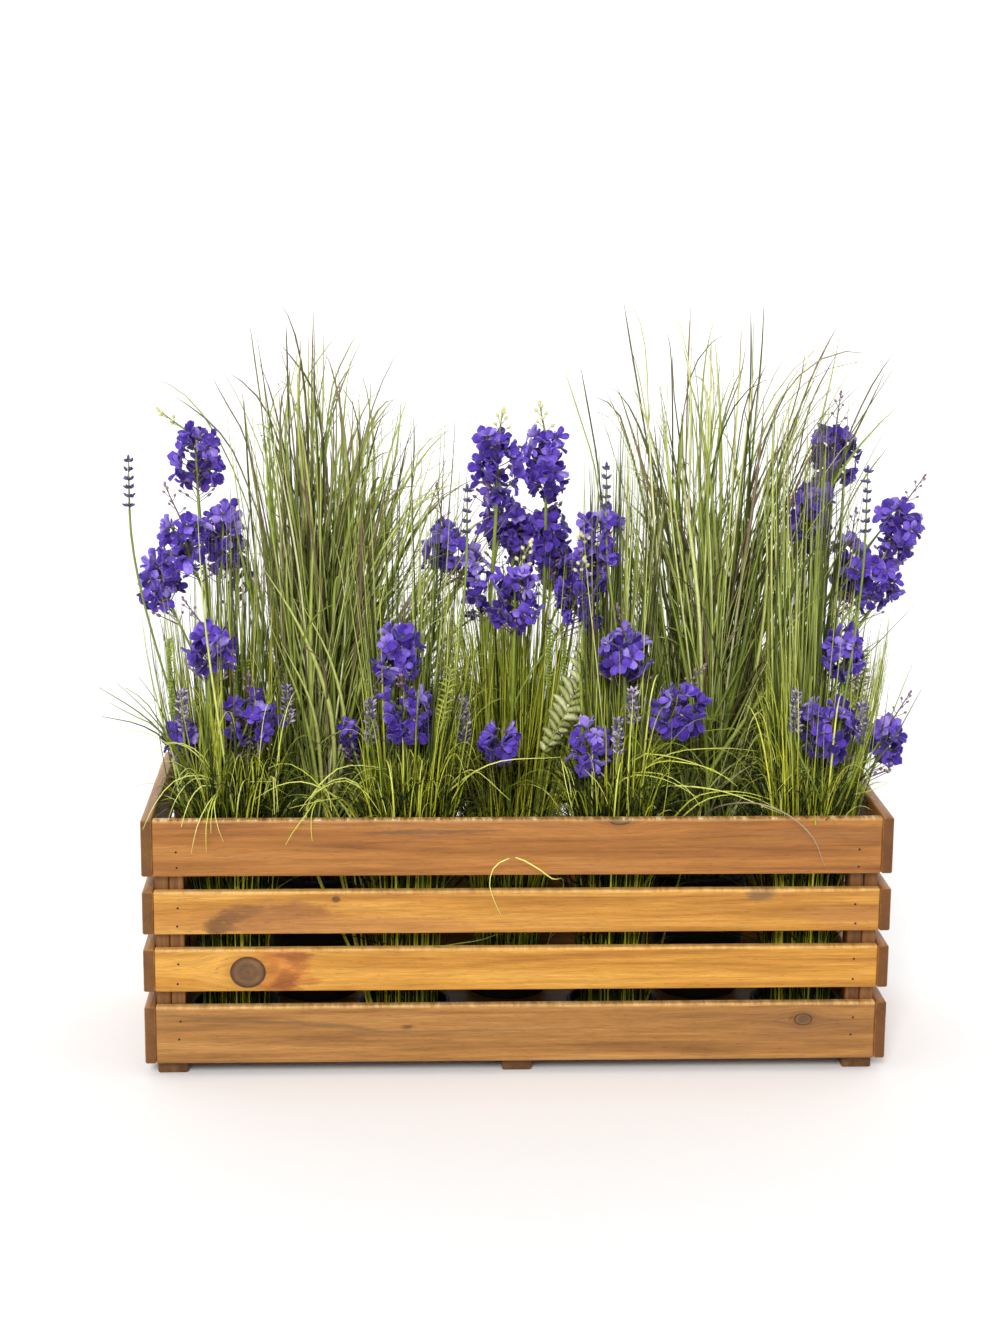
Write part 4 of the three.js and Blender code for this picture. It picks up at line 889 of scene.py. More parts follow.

# Each front slat's edge: half its height, and how much chips and glints break its painted highlight.
WOODS = {
    "slat_front_4": wood(
        "wood_reddish", REDDISH,
        knots=[(106, 33, 14, 9)],
        patches=[((-105, 17, 62, 3.5), (112, 76, 52), 0.6), ((330, 12, 90, 10), (150, 100, 56), 0.5),
                 ((-100, 27, 330, 5), (146, 96, 54), 0.5)],
        lines=[((-92, 17.5, 1.5, 84), (124, 88, 56), 1.9), ((-70, 13.5, 1, 50), (136, 96, 58), 1.3)],
        own=0.31, edge=(31.0, 0.8),
    ),
    "slat_front_3": wood(
        "wood_golden", GOLDEN,
        knots=[(-194.6, 15, 4, 3)],
        patches=[
            ((-290, -8, 110, 14), (182, 122, 62), 0.8),
            ((-100, -14, 260, 9), (196, 138, 66), 0.6),
            ((-258, -6, 62, 22), (160, 106, 58), 0.85),
            ((-236, 4, 40, 10), (150, 98, 52), 0.6),
            ((-319, -15, 20, 10), (118, 80, 46), 0.9),
            ((-305, -4, 18, 9), (124, 84, 48), 0.85),
            ((-290, 4, 22, 7), (132, 90, 50), 0.8),
            ((-170, -15, 140, 11), (180, 124, 66), 0.7),
            ((260, 19, 17, 10), (118, 88, 60), 0.8),
            ((290, 17, 12, 3), (170, 106, 54), 0.7),
            ((352, -6, 60, 12), (180, 122, 66), 0.6),
        ],
        own=0.74, edge=(23.75, 0.12),
    ),
    "slat_front_2": wood(
        "wood_yellow", YELLOW,
        knots=[(-288.8, -2, 19, 17.5)],
        patches=[((-252, 1, 34, 34), (198, 126, 54), 0.9), ((-237, 14, 18, 8), (156, 92, 40), 0.9),
                 ((-262, 15, 12, 12), (176, 108, 46), 0.7), ((-247, -9, 14, 11), (150, 86, 38), 0.9),
                 ((-256, -19, 26, 6), (160, 94, 42), 0.8), ((-232, 4, 12, 5), (168, 102, 46), 0.8),
                 ((-226, -13, 16, 5), (176, 112, 52), 0.7), ((-240, 17, 22, 4), (150, 88, 40), 0.8),
                 ((-250, -15, 16, 7), (142, 80, 36), 0.8), ((-262, 2, 8, 12), (178, 108, 50), 0.6)],
        own=0.13, edge=(23.75, 0.12),
    ),
    "slat_front_1": wood(
        "wood_tan", TAN,
        knots=[(309.4, 13, 10, 7)],
        patches=[((309, 6, 60, 22), (144, 100, 60), 0.5), ((-119, 8, 8, 3), (104, 72, 42), 0.8)],
        lines=[((-275, 15, -9, 130), (128, 94, 54), 3.2), ((-180, 7, -10, 80), (138, 102, 58), 2.6),
               ((-40, 3, 2, 190), (140, 102, 60), 2.0)],
        own=0.52, edge=(32.25, 0.2),
    ),
}
WOOD_PLAIN = wood("wood_plain", BROWN, own=0.9)
WOOD_END = {
    "left": wood("wood_end_left", TAN, own=0.42, end=(-FRONT_Y, (100, 64, 30))),
    "right": wood("wood_end_right", REDDISH, own=0.17, end=(-FRONT_Y, (92, 56, 26))),
}
WOOD_BACK = wood("wood_back", TAN, own=0.66)
WOOD_FLOOR = wood("wood_floor", INNER_SHADED, own=0.5)
WOOD_FOOT = wood("wood_foot", [(66, 40, 18), (98, 66, 34), (124, 84, 46)], own=0.21)

POT_FINISH = plain(
    "moulded_black", [(0, (34, 32, 30)), (1, (34, 32, 30))], 0.58, speckle=0.2, scale=900,
    Specular_IOR_Level=0.25,
)
NAIL_FINISH = plain("dark_iron", [(0, (40, 28, 20)), (1, (40, 28, 20))], 0.6, Metallic=0.4)
PLUG_FINISH = plain(
    "cast_root_plug", [(0, (46, 52, 20)), (1, (70, 66, 34))], 0.85, speckle=0.5, scale=180,
)
TALL_FINISH = leaf(
    "tall_blades",
    [(0.0, (92, 74, 48)), (0.08, (50, 58, 22)), (0.3, (80, 94, 32)), (0.55, (150, 166, 70)),
     (0.8, (204, 213, 116)), (1.0, (240, 242, 176))],
    # Painted shade: tall blades darker towards their roots, inside the clump.
    (0.05, 0.5, (36, 46, 16)),
    (0.62, 1.05, (116, 82, 80)),
)
TUFT_FINISH = leaf(
    "tuft_blades",
    [(0.0, (36, 46, 10)), (0.3, (84, 98, 20)), (0.6, (158, 166, 36)), (0.85, (210, 218, 74)),
     (1.0, (240, 246, 140))],
    # Painted light: tuft blades brighter towards their roots, where the box is in shade.
    (0.15, 0.78, (224, 216, 48)),
    (0.8, 1.0, (190, 188, 92)),
    0.25,
)
# Shoots: dark green blades made darker as painted shade inside the box, darker still towards the roots.
SHOOT_FINISH = leaf(
    "shoot_blades",
    [(0.0, (18, 26, 6)), (0.55, (36, 46, 12)), (0.8, (74, 88, 20)), (1.0, (172, 182, 50))],
    (0.0, 0.45, (44, 52, 14)),
    (0.9, 1.2, (120, 124, 50)),
)
PETAL_FINISH = petal_finish()
STEM_FINISH = plain(
    "stems",
    [(0.0, (92, 60, 92)), (0.3, (108, 84, 96)), (0.42, (96, 118, 40)), (1.0, (152, 166, 62))],
    0.5,
)
LAVENDER_FINISH = plain(
    "lavender_buds",
    [(0.0, (66, 56, 104)), (0.4, (102, 88, 134)), (0.7, (164, 146, 182)), (1.0, (214, 200, 222))],
    0.75,
)
FERN_FINISH = plain(
    "fern_leaves",
    [(0.0, (104, 118, 34)), (0.42, (168, 174, 70)), (0.58, (166, 172, 98)),
     (1.0, (222, 224, 168))],
    0.6,
)
BUD_FINISH = plain(
    "buds",
    [(0.0, (116, 90, 116)), (0.35, (152, 128, 132)), (0.6, (204, 200, 116)),
     (1.0, (226, 222, 168))],
    0.7,
)


# ---- box ----


def add_board(net, low, high, axis, own):
    """A board with rounded edges between two corners, its grain along the given axis."""
    order = {0: (0, 1, 2), 1: (1, 2, 0), 2: (2, 0, 1)}[axis]
    low, high = np.array(low), np.array(high)
    middle = (low + high) / 2
    half = ((high - low) / 2)[list(order)]
    radius = min(EDGE_RADIUS, 0.45 * half[1], 0.45 * half[2])
    bends = np.linspace(0, np.pi / 2, 5)
    run = np.linspace(-1, 1, max(3, int(half[0] / 8)))
    closing = np.linspace(0.35, np.pi / 2, 5)[:-1]
    inset = radius * (1 - np.sin(closing))
    ends = radius * (np.cos(closing[0]) - np.cos(closing))
    stations = [(-half[0] + e, i) for e, i in zip(ends, inset)]
    stations += [(r * (half[0] - radius), 0.0) for r in run]
    stations += [(half[0] - e, i) for e, i in zip(ends[::-1], inset[::-1])]
    quarter = np.stack([np.cos(bends), np.sin(bends)], -1)
    rings = []
    for along, shrink in stations:
        ring = []
        for turn in range(4):
            sign = np.array([[1, 1], [-1, 1], [-1, -1], [1, -1]][turn])
            arc = quarter if turn % 2 == 0 else quarter[::-1]
            corner = half[1:] - radius
            wear = between(0, 0.2) if abs(along) < half[0] - 2 * radius else 0
            ring.extend(sign * (corner + arc * (radius - shrink - wear)))
        rings.append([[along, *point] for point in ring])
    local = np.array(rings)
    rings = np.empty_like(local)
    for place, direction in enumerate(order):
        rings[..., direction] = local[..., place] + middle[direction]
    net.loft(rings[None], np.zeros(3))
    return local.reshape(-1, 3) + [0, 0, own]


def board(node, axis, material, turned=False, own=0.0):
    """The wooden piece that stands for a node of the frame."""
    low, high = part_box(node)
    net = Net()
    grain = add_board(net, np.array(low) / MM, np.array(high) / MM, axis, own)
    if turned:
        grain = grain[:, [0, 2, 1]]
    made = piece(net, f"{node}_board", material, "wood", node)
    held = made.data.attributes.new("grain", "FLOAT_VECTOR", "POINT")
    held.data.foreach_set("vector", grain.astype(np.float32).ravel())
    return made


def add_box():
    slots = {row["node"]: row["material_slot"] for row in frame["record"]["subparts"]}
    wooden = sorted(node for node in frame["nodes"] if slots.get(node) == "wood")
    for number, node in enumerate(wooden):
        own = 31.0 * (number + 1)
        if node.startswith("slat_front"):
            board(node, 0, WOODS[node], turned=True)
        elif node.startswith("slat_back"):
            board(node, 0, WOOD_BACK, own=own)
        elif node.startswith("end_board"):
            board(node, 1, WOOD_END[node.split("_")[2]], own=own)
        elif node.startswith("batten"):
            board(node, 2, WOOD_PLAIN, own=own)
        elif node.startswith("bearer"):
            board(node, 1, WOOD_FOOT, own=own)
        else:
            paint_floor(frame["nodes"][node])


def paint_floor(node):
    """Floor boards stay as they are, with plain wood laid along them, its dark tones painted shade
    inside the box.
    """
    floor_wood = WOOD_FLOOR.copy()
    floor_wood.name = f"wood_{node.name}"
    nodes, links = floor_wood.node_tree.nodes, floor_wood.node_tree.links
    place = nodes.new("ShaderNodeTexCoord")
    scaled = nodes.new("ShaderNodeVectorMath")
    scaled.operation = "SCALE"
    scaled.inputs["Scale"].default_value = 1 / MM
    links.new(place.outputs["Object"], scaled.inputs[0])
    for held in [n for n in nodes if n.type == "ATTRIBUTE" and n.attribute_name == "grain"]:
        for link in list(held.outputs["Vector"].links):
            links.new(scaled.outputs[0], link.to_socket)
    for i in range(len(node.material_slots)):
        node.material_slots[i].material = floor_wood


def add_nails():
    """Nail heads at the slats' ends and at the end boards' ends, as low domes."""
    places = []
    for row in range(1, 5):
        for side, face, turn in (("front", FRONT_Y, -1), ("back", -FRONT_Y, 1)):
            low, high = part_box(f"slat_{side}_{row}")
            z_low, z_high = low.z / MM, high.z / MM
            for sx in (-1, 1):
                for share in NAIL_SHARES[row]:
                    x = sx * NAIL_X + between(-1.2, 1.2)
                    z = z_low + (z_high - z_low) * share + between(-1.5, 1.5)
                    places.append(((x, face, z), (0, turn, 0)))
    for row in range(1, 5):
        for side, sx in (("left", -1), ("right", 1)):
            low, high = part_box(f"end_board_{side}_{row}")
            for sy in (-1, 1):
                for share in (NAIL_INSET, 1 - NAIL_INSET):
                    z = (low.z + (high.z - low.z) * share) / MM + between(-1.5, 1.5)
                    places.append(((sx * END_X, sy * NAIL_Y + between(-1, 1), z), (sx, 0, 0)))
    centres = np.array([p for p, _ in places])
    out = np.array([d for _, d in places], float)
    up = np.array([0, 0, 1.0])
    side = np.cross(out, up)[:, None]
    angles = -ring_angles(8)[:, None]
    circle = side * np.cos(angles) + up * np.sin(angles)
    rings = []
    for depth, share in ((-0.6, 1.0), (0.04, 1.0), (0.14, 0.8), (0.2, 0.4), (0.22, 0.05)):
        rings.append(centres[:, None] + out[:, None] * depth + NAIL_RADIUS * share * circle)
    net = Net()
    net.loft(np.stack(rings, axis=1), np.zeros(3))
    piece(net, "nails", NAIL_FINISH, "nail")


# ---- pots ----


def add_lathe(net, centre, outline, around=48):
    """A turned solid: its outline is [radius, height] pairs from the axis and back to it."""
    angles = ring_angles(around)
    radii, heights = np.array(outline, float).T
    rings = np.zeros((1, len(outline), around, 3))
    rings[0, ..., 0] = centre[0] + radii[:, None] * np.cos(angles)
    rings[0, ..., 1] = centre[1] + radii[:, None] * np.sin(angles)
    rings[0, ..., 2] = centre[2] + heights[:, None]
    net.loft(rings, (0.5, 0.5, 0))


def add_pots():
    for size, pots, kind in ((LOW_POT, TUFT_POTS, "low"), (TALL_POT, TALL_POTS, "tall")):
        for side, (x, y) in pots.items():
            net = Net()
            lip = 3 * POT_LIP
            top, mouth = size["height"], size["radius"] + POT_LIP
            neck = size["foot"] + (size["radius"] - size["foot"]) * (top - lip) / top
            edge = 0.8
            add_lathe(net, (x, y, POT_BASE), [
                (0.5, 0), (size["foot"] - 2, 0), (size["foot"] - 0.5, 0.5), (size["foot"], 2),
                (neck, top - lip), (mouth - edge, top - lip), (mouth, top - lip + edge),
                (mouth, top - edge), (mouth - edge, top), (size["radius"] - POT_WALL + edge, top),
                (size["radius"] - POT_WALL, top - edge), (size["foot"] - POT_WALL, POT_WALL),
                (0.5, POT_WALL),
            ])
            piece(net, f"pot_{kind}_{side}_shell", POT_FINISH, "pot", f"pot_{kind}_{side}")


def add_plug(name, size, centre):
    """The cast plug that fills a pot, its top uneven like packed roots."""
    net = Net()
    slope = (size["radius"] - size["foot"]) / size["height"]
    low, fill = POT_WALL + 0.3, size["fill"]

    def radius_at(height):
        return size["foot"] - POT_WALL - 0.6 + slope * (height - POT_WALL)

    outline = [(0.5, low), (radius_at(low), low), (radius_at(fill - 2), fill - 2)]
    for share in (0.97, 0.85, 0.7, 0.5, 0.3, 0.1):
        outline.append((radius_at(fill) * share, fill - 1.2 * share))
    add_lathe(net, (*centre, POT_BASE), outline, 40)
    points = net.points[0]
    upper = points[:, 2] > POT_BASE + fill - 1.5
    points[upper, 2] += between(-1.2, 0.6, int(upper.sum()))
    piece(net, name, PLUG_FINISH, "bright_grass")


# ---- grasses ----


def rooted(centre, radius, z, count):
    """Root points spread over a plug's top, and the direction of each from the middle."""
    angle = between(0, TURN, count)
    share = np.sqrt(between(0, 1, count))
    out = np.stack([np.cos(angle), np.sin(angle)], -1)
    roots = np.column_stack([np.add(centre, out * radius * share[:, None]), np.full(count, z)])
    return roots, out, share


def uneven(count, dark):
    """Lucks that are low for the given share of blades and high for the others."""
    return np.where(between(0, 1, count) < dark, between(0, 0.3, count), between(0.42, 1, count))


def wavy(ways, amount):
    """Bends each way a little from side to side, more towards its tip."""
    strands, length = ways.shape[:2]
    s = np.linspace(0, 1, length)[None, :, None]
    phase = between(0, 6.3, strands, 1, 2)
    bends = between(0.5, 1.6, strands, 1, 2)
    swing = random.normal(0, amount, (strands, 1, 2))
    ways[..., :2] += swing * (np.sin(2 * np.pi * bends * s + phase) - np.sin(phase)) * s
    return ways


def clear_of_heads(ways):
    """True for blades beside or behind the low flower heads, and for a few in front of them."""
    keep = np.ones(len(ways), bool)
    for _, _, heads in SPRAYS.values():
        for x, y, z, width, height in heads:
            if z < LOW_HEADS:
                off = ways - (x, y, z)
                level = off[..., 2] + SIGHT_FALL * off[..., 1]
                hides = (np.abs(off[..., 0]) < 0.45 * width) & (np.abs(level) < 0.5 * height)
                keep &= ~(hides & (off[..., 1] < 0.25 * width)).any(axis=1)
    return keep | (between(0, 1, len(ways)) < 0.06)


def to_front(most):
    """The facing of one blade that shows its flat side, turned by the most at most."""
    return np.array([between(-most, most) + math.pi / 2])


def add_clump(net, side, centre, leading):
    """The blades of a tall grass; the first ones end at the leading tips."""
    ahead, count = len(leading), TALL_BLADES[side] + len(leading)
    roots, _, _ = rooted(centre, TALL_ROOTS, TALL_ROOT_Z, count)
    even = between(0, 1, count) < 0.55
    lean = np.where(even, between(-1, 1, count), random.normal(TALL_SHIFT[side], 0.45, count))
    lean = np.clip(lean, -1.15, 1.1)
    sideways = lean * np.where(lean < 0, *TALL_LEAN[side])
    top = TALL_TOP[side] - np.abs(lean) * np.where(lean < 0, *TALL_FALL[side])
    tips = roots.copy()
    tips[:, 0] = centre[0] + 0.4 * (roots[:, 0] - centre[0]) + sideways
    tips[:, 1] += np.clip(random.normal(0, 46, count), -120, 110)
    tips[:, 1] = np.minimum(tips[:, 1], TALL_BACK_TIP)
    tips[:, 2] = TALL_LEAST + (top - TALL_LEAST) * between(0, 1, count) ** TALL_FEW[side]
    tips[:ahead] = leading
    flat, climb = flat_and_climb(roots, tips)
    bent = between(0, 1, count)[:, None] ** 1.5
    rise = roots + 0.12 * flat + 0.42 * climb
    rise[:, :2] += random.normal(0, 12, (count, 2))
    crest = tips - (0.3 + 0.5 * bent) * flat - (0.28 - 0.38 * bent) * climb
    crest[:, :2] += random.normal(0, 22, (count, 2))
    ways = wavy(bezier(roots, rise, crest, tips, 16), 6)
    ways[..., 1] = np.minimum(ways[..., 1], TALL_BACK)
    widths = 1.4 + 3.0 * between(0, 1, count) ** 1.6
    wide = between(0, 1, count) > 0.93
    wide[:ahead] = False
    few = int(wide.sum())
    widths[wide] = between(4.5, 6.5, few)
    widths[:ahead] = 2.8
    kinds = between(0.5, 1.15, count) + 0.4 * (between(0, 1, count) > 0.86)
    kinds[wide] = between(0.3, 0.8, few)
    high = wide & (tips[:, 2] > WIDE_TOP)
    reach = between(WIDE_TOP - 150, WIDE_TOP, int(high.sum())) - TALL_ROOT_Z
    share = reach / (tips[high, 2] - TALL_ROOT_Z)
    ways[high] = roots[high, None] + (ways[high] - roots[high, None]) * share[:, None, None]
    lucks = uneven(count, TALL_DARK[side])
    lucks[wide] = between(0.25, 0.7, few)
    add_blades(net, ways, widths, between(0, TURN, count), lucks, kinds,
               twist=between(-1.4, 1.4, count), taper=3.5)


def add_tall_grass(side, centre):
    name = f"grass_tall_{side}"
    net = Net()
    add_clump(net, side, centre, np.array(LEADING_TIPS[name], float))
    for places in ARCS[name]:
        root = rooted(centre, TALL_ROOTS, TALL_ROOT_Z, 1)[0][0]
        middle = root + (np.array(places[0]) - root) * [0.4, 0.4, 0.5]
        way = through([root, middle, *places], STRAND_POINTS)
        add_blades(net, way, between(1.5, 2.1, 1), to_front(0.5),
                   between(0.08, 0.6, 1), between(0.7, 1.15), taper=15.0)
    for *places, width in BROAD_BLADES[name]:
        root = (*(np.add(centre, places[0][:2]) / 2), TALL_ROOT_Z)
        way = through([root, *places], 22)
        add_blades(net, way, [width], to_front(0.4), between(*BROAD_LUCK[side], 1), 0.5)
    piece(net, f"{name}_blades", TALL_FINISH, "tall_grass", name)
    add_plug(f"{name}_plug", TALL_POT, centre)


def add_risers():
    """Tall straight blades beside the clumps, out of the low pots next to them."""
    for number, (side, count, x_low, x_high, z_low, z_high, y_low) in enumerate(RISERS):
        net = Net()
        ways = stand_of(TUFT_POTS[side], count, (x_low, x_high), (z_low, z_high), (y_low, 140))
        few = len(ways)
        add_blades(net, ways, between(1.4, 3.0, few), between(0, TURN, few),
                   np.minimum(uneven(few, 0.35), RISER_LUCK), between(0.3, 1.1, few),
                   twist=between(-1.2, 1.2, few))
        piece(net, f"tuft_{side}_risers_{number + 1}", TALL_FINISH, "tall_grass")


def add_tuft(side, centre):
    name = f"tuft_{side}"
    net = Net()
    add_tuft_blades(net, side, centre, np.reshape(LEADING_TIPS.get(name, []), (-1, 3)))
    add_stand(net, side, centre)
    add_sheaves(net, side, centre)
    add_arches(net, centre)
    add_strands(net, centre, STRANDS.get(name, []))
    piece(net, f"{name}_blades", TUFT_FINISH, "bright_grass", name)
    add_plug(f"{name}_plug", LOW_POT, centre)


def add_tuft_blades(net, side, centre, leading):
    """Blades that rise to the rim and lean out on every side; the first end at the leading tips."""
    ahead, count = len(leading), TUFT_BLADES + len(leading)
    roots, out, share = rooted(centre, TUFT_ROOTS, LOW_ROOT_Z, count)
    reach = 70 * share * between(0, 1, count) ** 1.3
    tips = roots.copy()
    tips[:, :2] += out * reach[:, None] + random.normal(0, 12, (count, 2))
    away = np.linalg.norm(tips[:, :2] - centre, axis=1)
    tips[:, 2] = TUFT_LEAST + TUFT_HEIGHT[side] * between(0, 1, count) ** 1.4 - 0.5 * away
    tips[:ahead] = leading
    flat, _ = flat_and_climb(roots, tips)
    rise = roots.copy()
    rise[:, 2] = np.maximum(RIM_Z - 10, tips[:, 2] * 0.72)
    rise[:, :2] += random.normal(0, 3, (count, 2))
    crest = tips - 0.5 * flat
    crest[:, 2] = np.maximum(tips[:, 2] + 0.1 * away, RIM_Z + 20)
    ways = wavy(bezier(roots, rise, crest, tips, 13), 1.5)
    keep = clear_of_heads(ways)
    few = int(keep.sum())
    widths = 1.3 + 1.8 * between(0, 1, count) ** 2
    lucks = uneven(count, 0.45)
    add_blades(net, ways[keep], widths[keep], between(0, TURN, few), lucks[keep],
               between(0.3, 1, few), thick=0.4)


def add_strands(net, centre, strands):
    """The tabled bright blades that arch out of a tuft."""
    for places in strands:
        root = (*(np.array(places[0][:2]) * 0.4 + np.array(centre) * 0.6), LOW_ROOT_Z)
        taper = np.minimum(1, (1 - np.linspace(0, 1, STRAND_POINTS)) * 2.5 + 0.2)
        high = places[-1][2] > HIGH_STRAND
        luck = between(0.25, 0.5) if high else between(0.85, 1)
        size = between(1.15, 1.6) if high else between(0.85, 1.2)
        way = through([root, *places], STRAND_POINTS)
        add_tubes(net, way, size * taper, 6, luck, 0.2)


def stand_of(centre, count, across, heights, depth):
    """Ways of straight blades, close together, that stand up out of a tuft."""
    roots, _, _ = rooted(centre, TUFT_ROOTS, LOW_ROOT_Z, count)
    low, high = heights
    tips = np.column_stack([
        between(*across, count), centre[1] + between(*depth, count),
        low + (high - low) * between(0, 1, count) ** 0.9,
    ])
    tips[:, 1] = np.clip(tips[:, 1], -INNER_TIP_Y, INNER_TIP_Y)
    tips[:, 2] = np.maximum(tips[:, 2], LEAST_STAND + 1.5 * np.abs(tips[:, 0] - centre[0]))
    flat, climb = flat_and_climb(roots, tips)
    rise = roots + 0.5 * flat + 0.5 * climb
    crest = tips - between(-0.05, 0.3, count, 1) * flat - 0.3 * climb
    ways = wavy(bezier(roots, rise, crest, tips, 14), 2.5)
    return ways[clear_of_heads(ways)]


def add_sheaves(net, side, centre):
    """Bundles of thick bright blades, each wider at its top than at its foot."""
    for middle, count, top in SHEAVES[side]:
        angle = between(0, TURN, count)
        share = np.sqrt(between(0, 1, count))[:, None]
        foot = np.array([0.25 * middle + 0.75 * centre[0], centre[1], LOW_ROOT_Z])
        roots = foot + outward(angle) * (14 * share)
        tips = np.array([middle, centre[1], 0]) + outward(angle) * (22 * share)
        tips[:, 2] = RIM_Z + 20 + (top - RIM_Z - 20) * between(0, 1, count) ** 0.8
        mid = 0.35 * roots + 0.65 * (tips * [1, 1, 0] + roots * [0, 0, 1])
        _, climb = flat_and_climb(roots, tips)
        ways = wavy(bezier(roots, mid + 0.45 * climb, tips - 0.25 * climb, tips, 13), 1.5)
        ways = ways[clear_of_heads(ways)]
        few = len(ways)
        add_blades(net, ways, between(1.8, 3.2, few), between(0, TURN, few),
                   between(*SHEAF_LUCK.get(side, OTHER_SHEAF_LUCK), few), between(0.3, 1, few),
                   thick=0.5)


def add_stand(net, side, centre):
    """Thin straight blades, close together, that stand up out of a tuft."""
    count, x_low, x_high, z_low, z_high = STANDS[side]
    depth = (-80, 60) if centre[1] > 0 else (-44, 95)
    ways = stand_of(centre, count, (x_low, x_high), (z_low, z_high), depth)
    few = len(ways)
    widths, facing = between(1.1, 2.3, few), between(0, TURN, few)
    lucks = uneven(few, STAND_DARK.get(side, OTHER_STAND_DARK)) * 0.92
    add_blades(net, ways, widths, facing, lucks ** STAND_POWER.get(side, 1),
               between(0.2, 1, few))


def ring_of_tips(centre, angle, reach, heights):
    """Tips round a tuft's middle, a little nearer to it from the front to the back."""
    return np.column_stack([
        centre[0] + reach * np.cos(angle), centre[1] + 0.8 * reach * np.sin(angle), heights,
    ])


def add_arches(net, centre):
    """Thin blades that rise over the rim and bend down towards their tips."""
    count = TUFT_ARCHES
    roots, _, _ = rooted(centre, TUFT_ROOTS, LOW_ROOT_Z, count)
    angle = between(0, TURN, count)
    reach = 50 + 95 * between(0, 1, count)
    tips = ring_of_tips(centre, angle, reach, RIM_Z + 4 + 90 * between(0, 1, count) ** 1.3)
    tips[:, 1] = np.clip(tips[:, 1], -INNER_TIP_Y, INNER_TIP_Y)
    flat, _ = flat_and_climb(roots, tips)
    rise = roots + 0.04 * flat
    rise[:, 2] = tips[:, 2] + between(20, 90, count)
    crest = tips - 0.34 * flat
    crest[:, 2] = rise[:, 2] + between(-10, 25, count)
    ways = wavy(bezier(roots, rise, crest, tips, 16), 3)
    keep = clear_of_heads(ways)
    few = int(keep.sum())
    add_blades(net, ways[keep], between(1.0, 1.7, few), angle[keep], between(0.5, 1, few), 0.4)


def skirt(centre, points):
    """Ways of the blades that rise round a low pot and bend down to the rim on every side."""
    roots, _, _ = rooted(centre, TUFT_ROOTS, LOW_ROOT_Z, SKIRT)
    angle = between(0, TURN, SKIRT)
    reach = between(45, 115, SKIRT)
    tips = ring_of_tips(centre, angle, reach, RIM_Z + between(-22, 34, SKIRT))
    flat, _ = flat_and_climb(roots, tips)
    rise = roots + 0.1 * flat
    rise[:, 2] = tips[:, 2] + between(0, 50, SKIRT)
    crest = tips - 0.4 * flat
    crest[:, 2] = tips[:, 2] + between(20, 60, SKIRT)
    return wavy(bezier(roots, rise, crest, tips, points), 2)


def shoot_tips():
    """Places all over the box, most just over the rim, some in its ends and some low down."""
    tips = np.column_stack([
        between(-382, 382, SHOOTS), between(-INNER_Y, INNER_Y, SHOOTS), between(225, 372, SHOOTS),
    ])
    cornered = between(0, 1, SHOOTS) > 0.88
    few = int(cornered.sum())
    tips[cornered, 0] = np.where(between(0, 1, few) < 0.5, -1, 1) * between(330, INNER_X, few)
    tips[cornered, 2] = between(240, 335, few)
    low = between(0, 1, SHOOTS) > 0.8
    tips[low, 2] = between(110, 225, int(low.sum()))
    return tips


def add_shoots():
    """Short blades, their dark colour partly painted shade, that fill the box to just over the rim,
    each from the nearest pot.
    """
    pots = [(f"tuft_{side}", at, TUFT_ROOTS, LOW_ROOT_Z) for side, at in TUFT_POTS.items()]
    pots += [(f"grass_tall_{side}", at, TALL_ROOTS, TALL_ROOT_Z) for side, at in TALL_POTS.items()]
    tips = shoot_tips()
    places = np.array([centre for _, centre, _, _ in pots], float)
    nearest = np.linalg.norm(tips[:, None, :2] - places, axis=-1).argmin(axis=1)
    for number, (node, centre, radius, root_z) in enumerate(pots):
        ends = tips[nearest == number]
        count = len(ends)
        roots, _, _ = rooted(centre, radius, root_z, count)
        ends[:, 2] = np.maximum(ends[:, 2], roots[:, 2] + 30)
        flat, climb = flat_and_climb(roots, ends)
        crest = ends - 0.4 * flat + climb * between(-0.06, 0.12, count)[:, None]
        ways = wavy(bezier(roots, roots + 0.15 * flat + 0.7 * climb, crest, ends, 11), 2)
        if root_z == LOW_ROOT_Z:
            ways = np.concatenate([ways, skirt(centre, 11)])
        ways[..., 0] = np.clip(ways[..., 0], -INNER_X, INNER_X)
        ways[..., 1] = np.clip(ways[..., 1], -INNER_Y, INNER_Y)
        ways = ways[clear_of_heads(ways)]
        few = len(ways)
        net = Net()
        add_blades(net, ways, 1.0 + 2.0 * between(0, 1, few) ** 2, between(0, TURN, few),
                   between(0, 1, few) ** 1.5, between(0, 0.6, few))
        piece(net, f"{node}_shoots", SHOOT_FINISH, "bright_grass")


# Sprigs of small round leaves: the tuft pot, the tip, and how far down the leaves go.
SPRIGS = [
    ("left", (-374, -60, 461), 82), ("left", (-292, -50, 435), 66), ("left", (-303, -46, 428), 60),
    ("centre", (38, -20, 467), 70), ("centre", (55, -10, 452), 62),
]


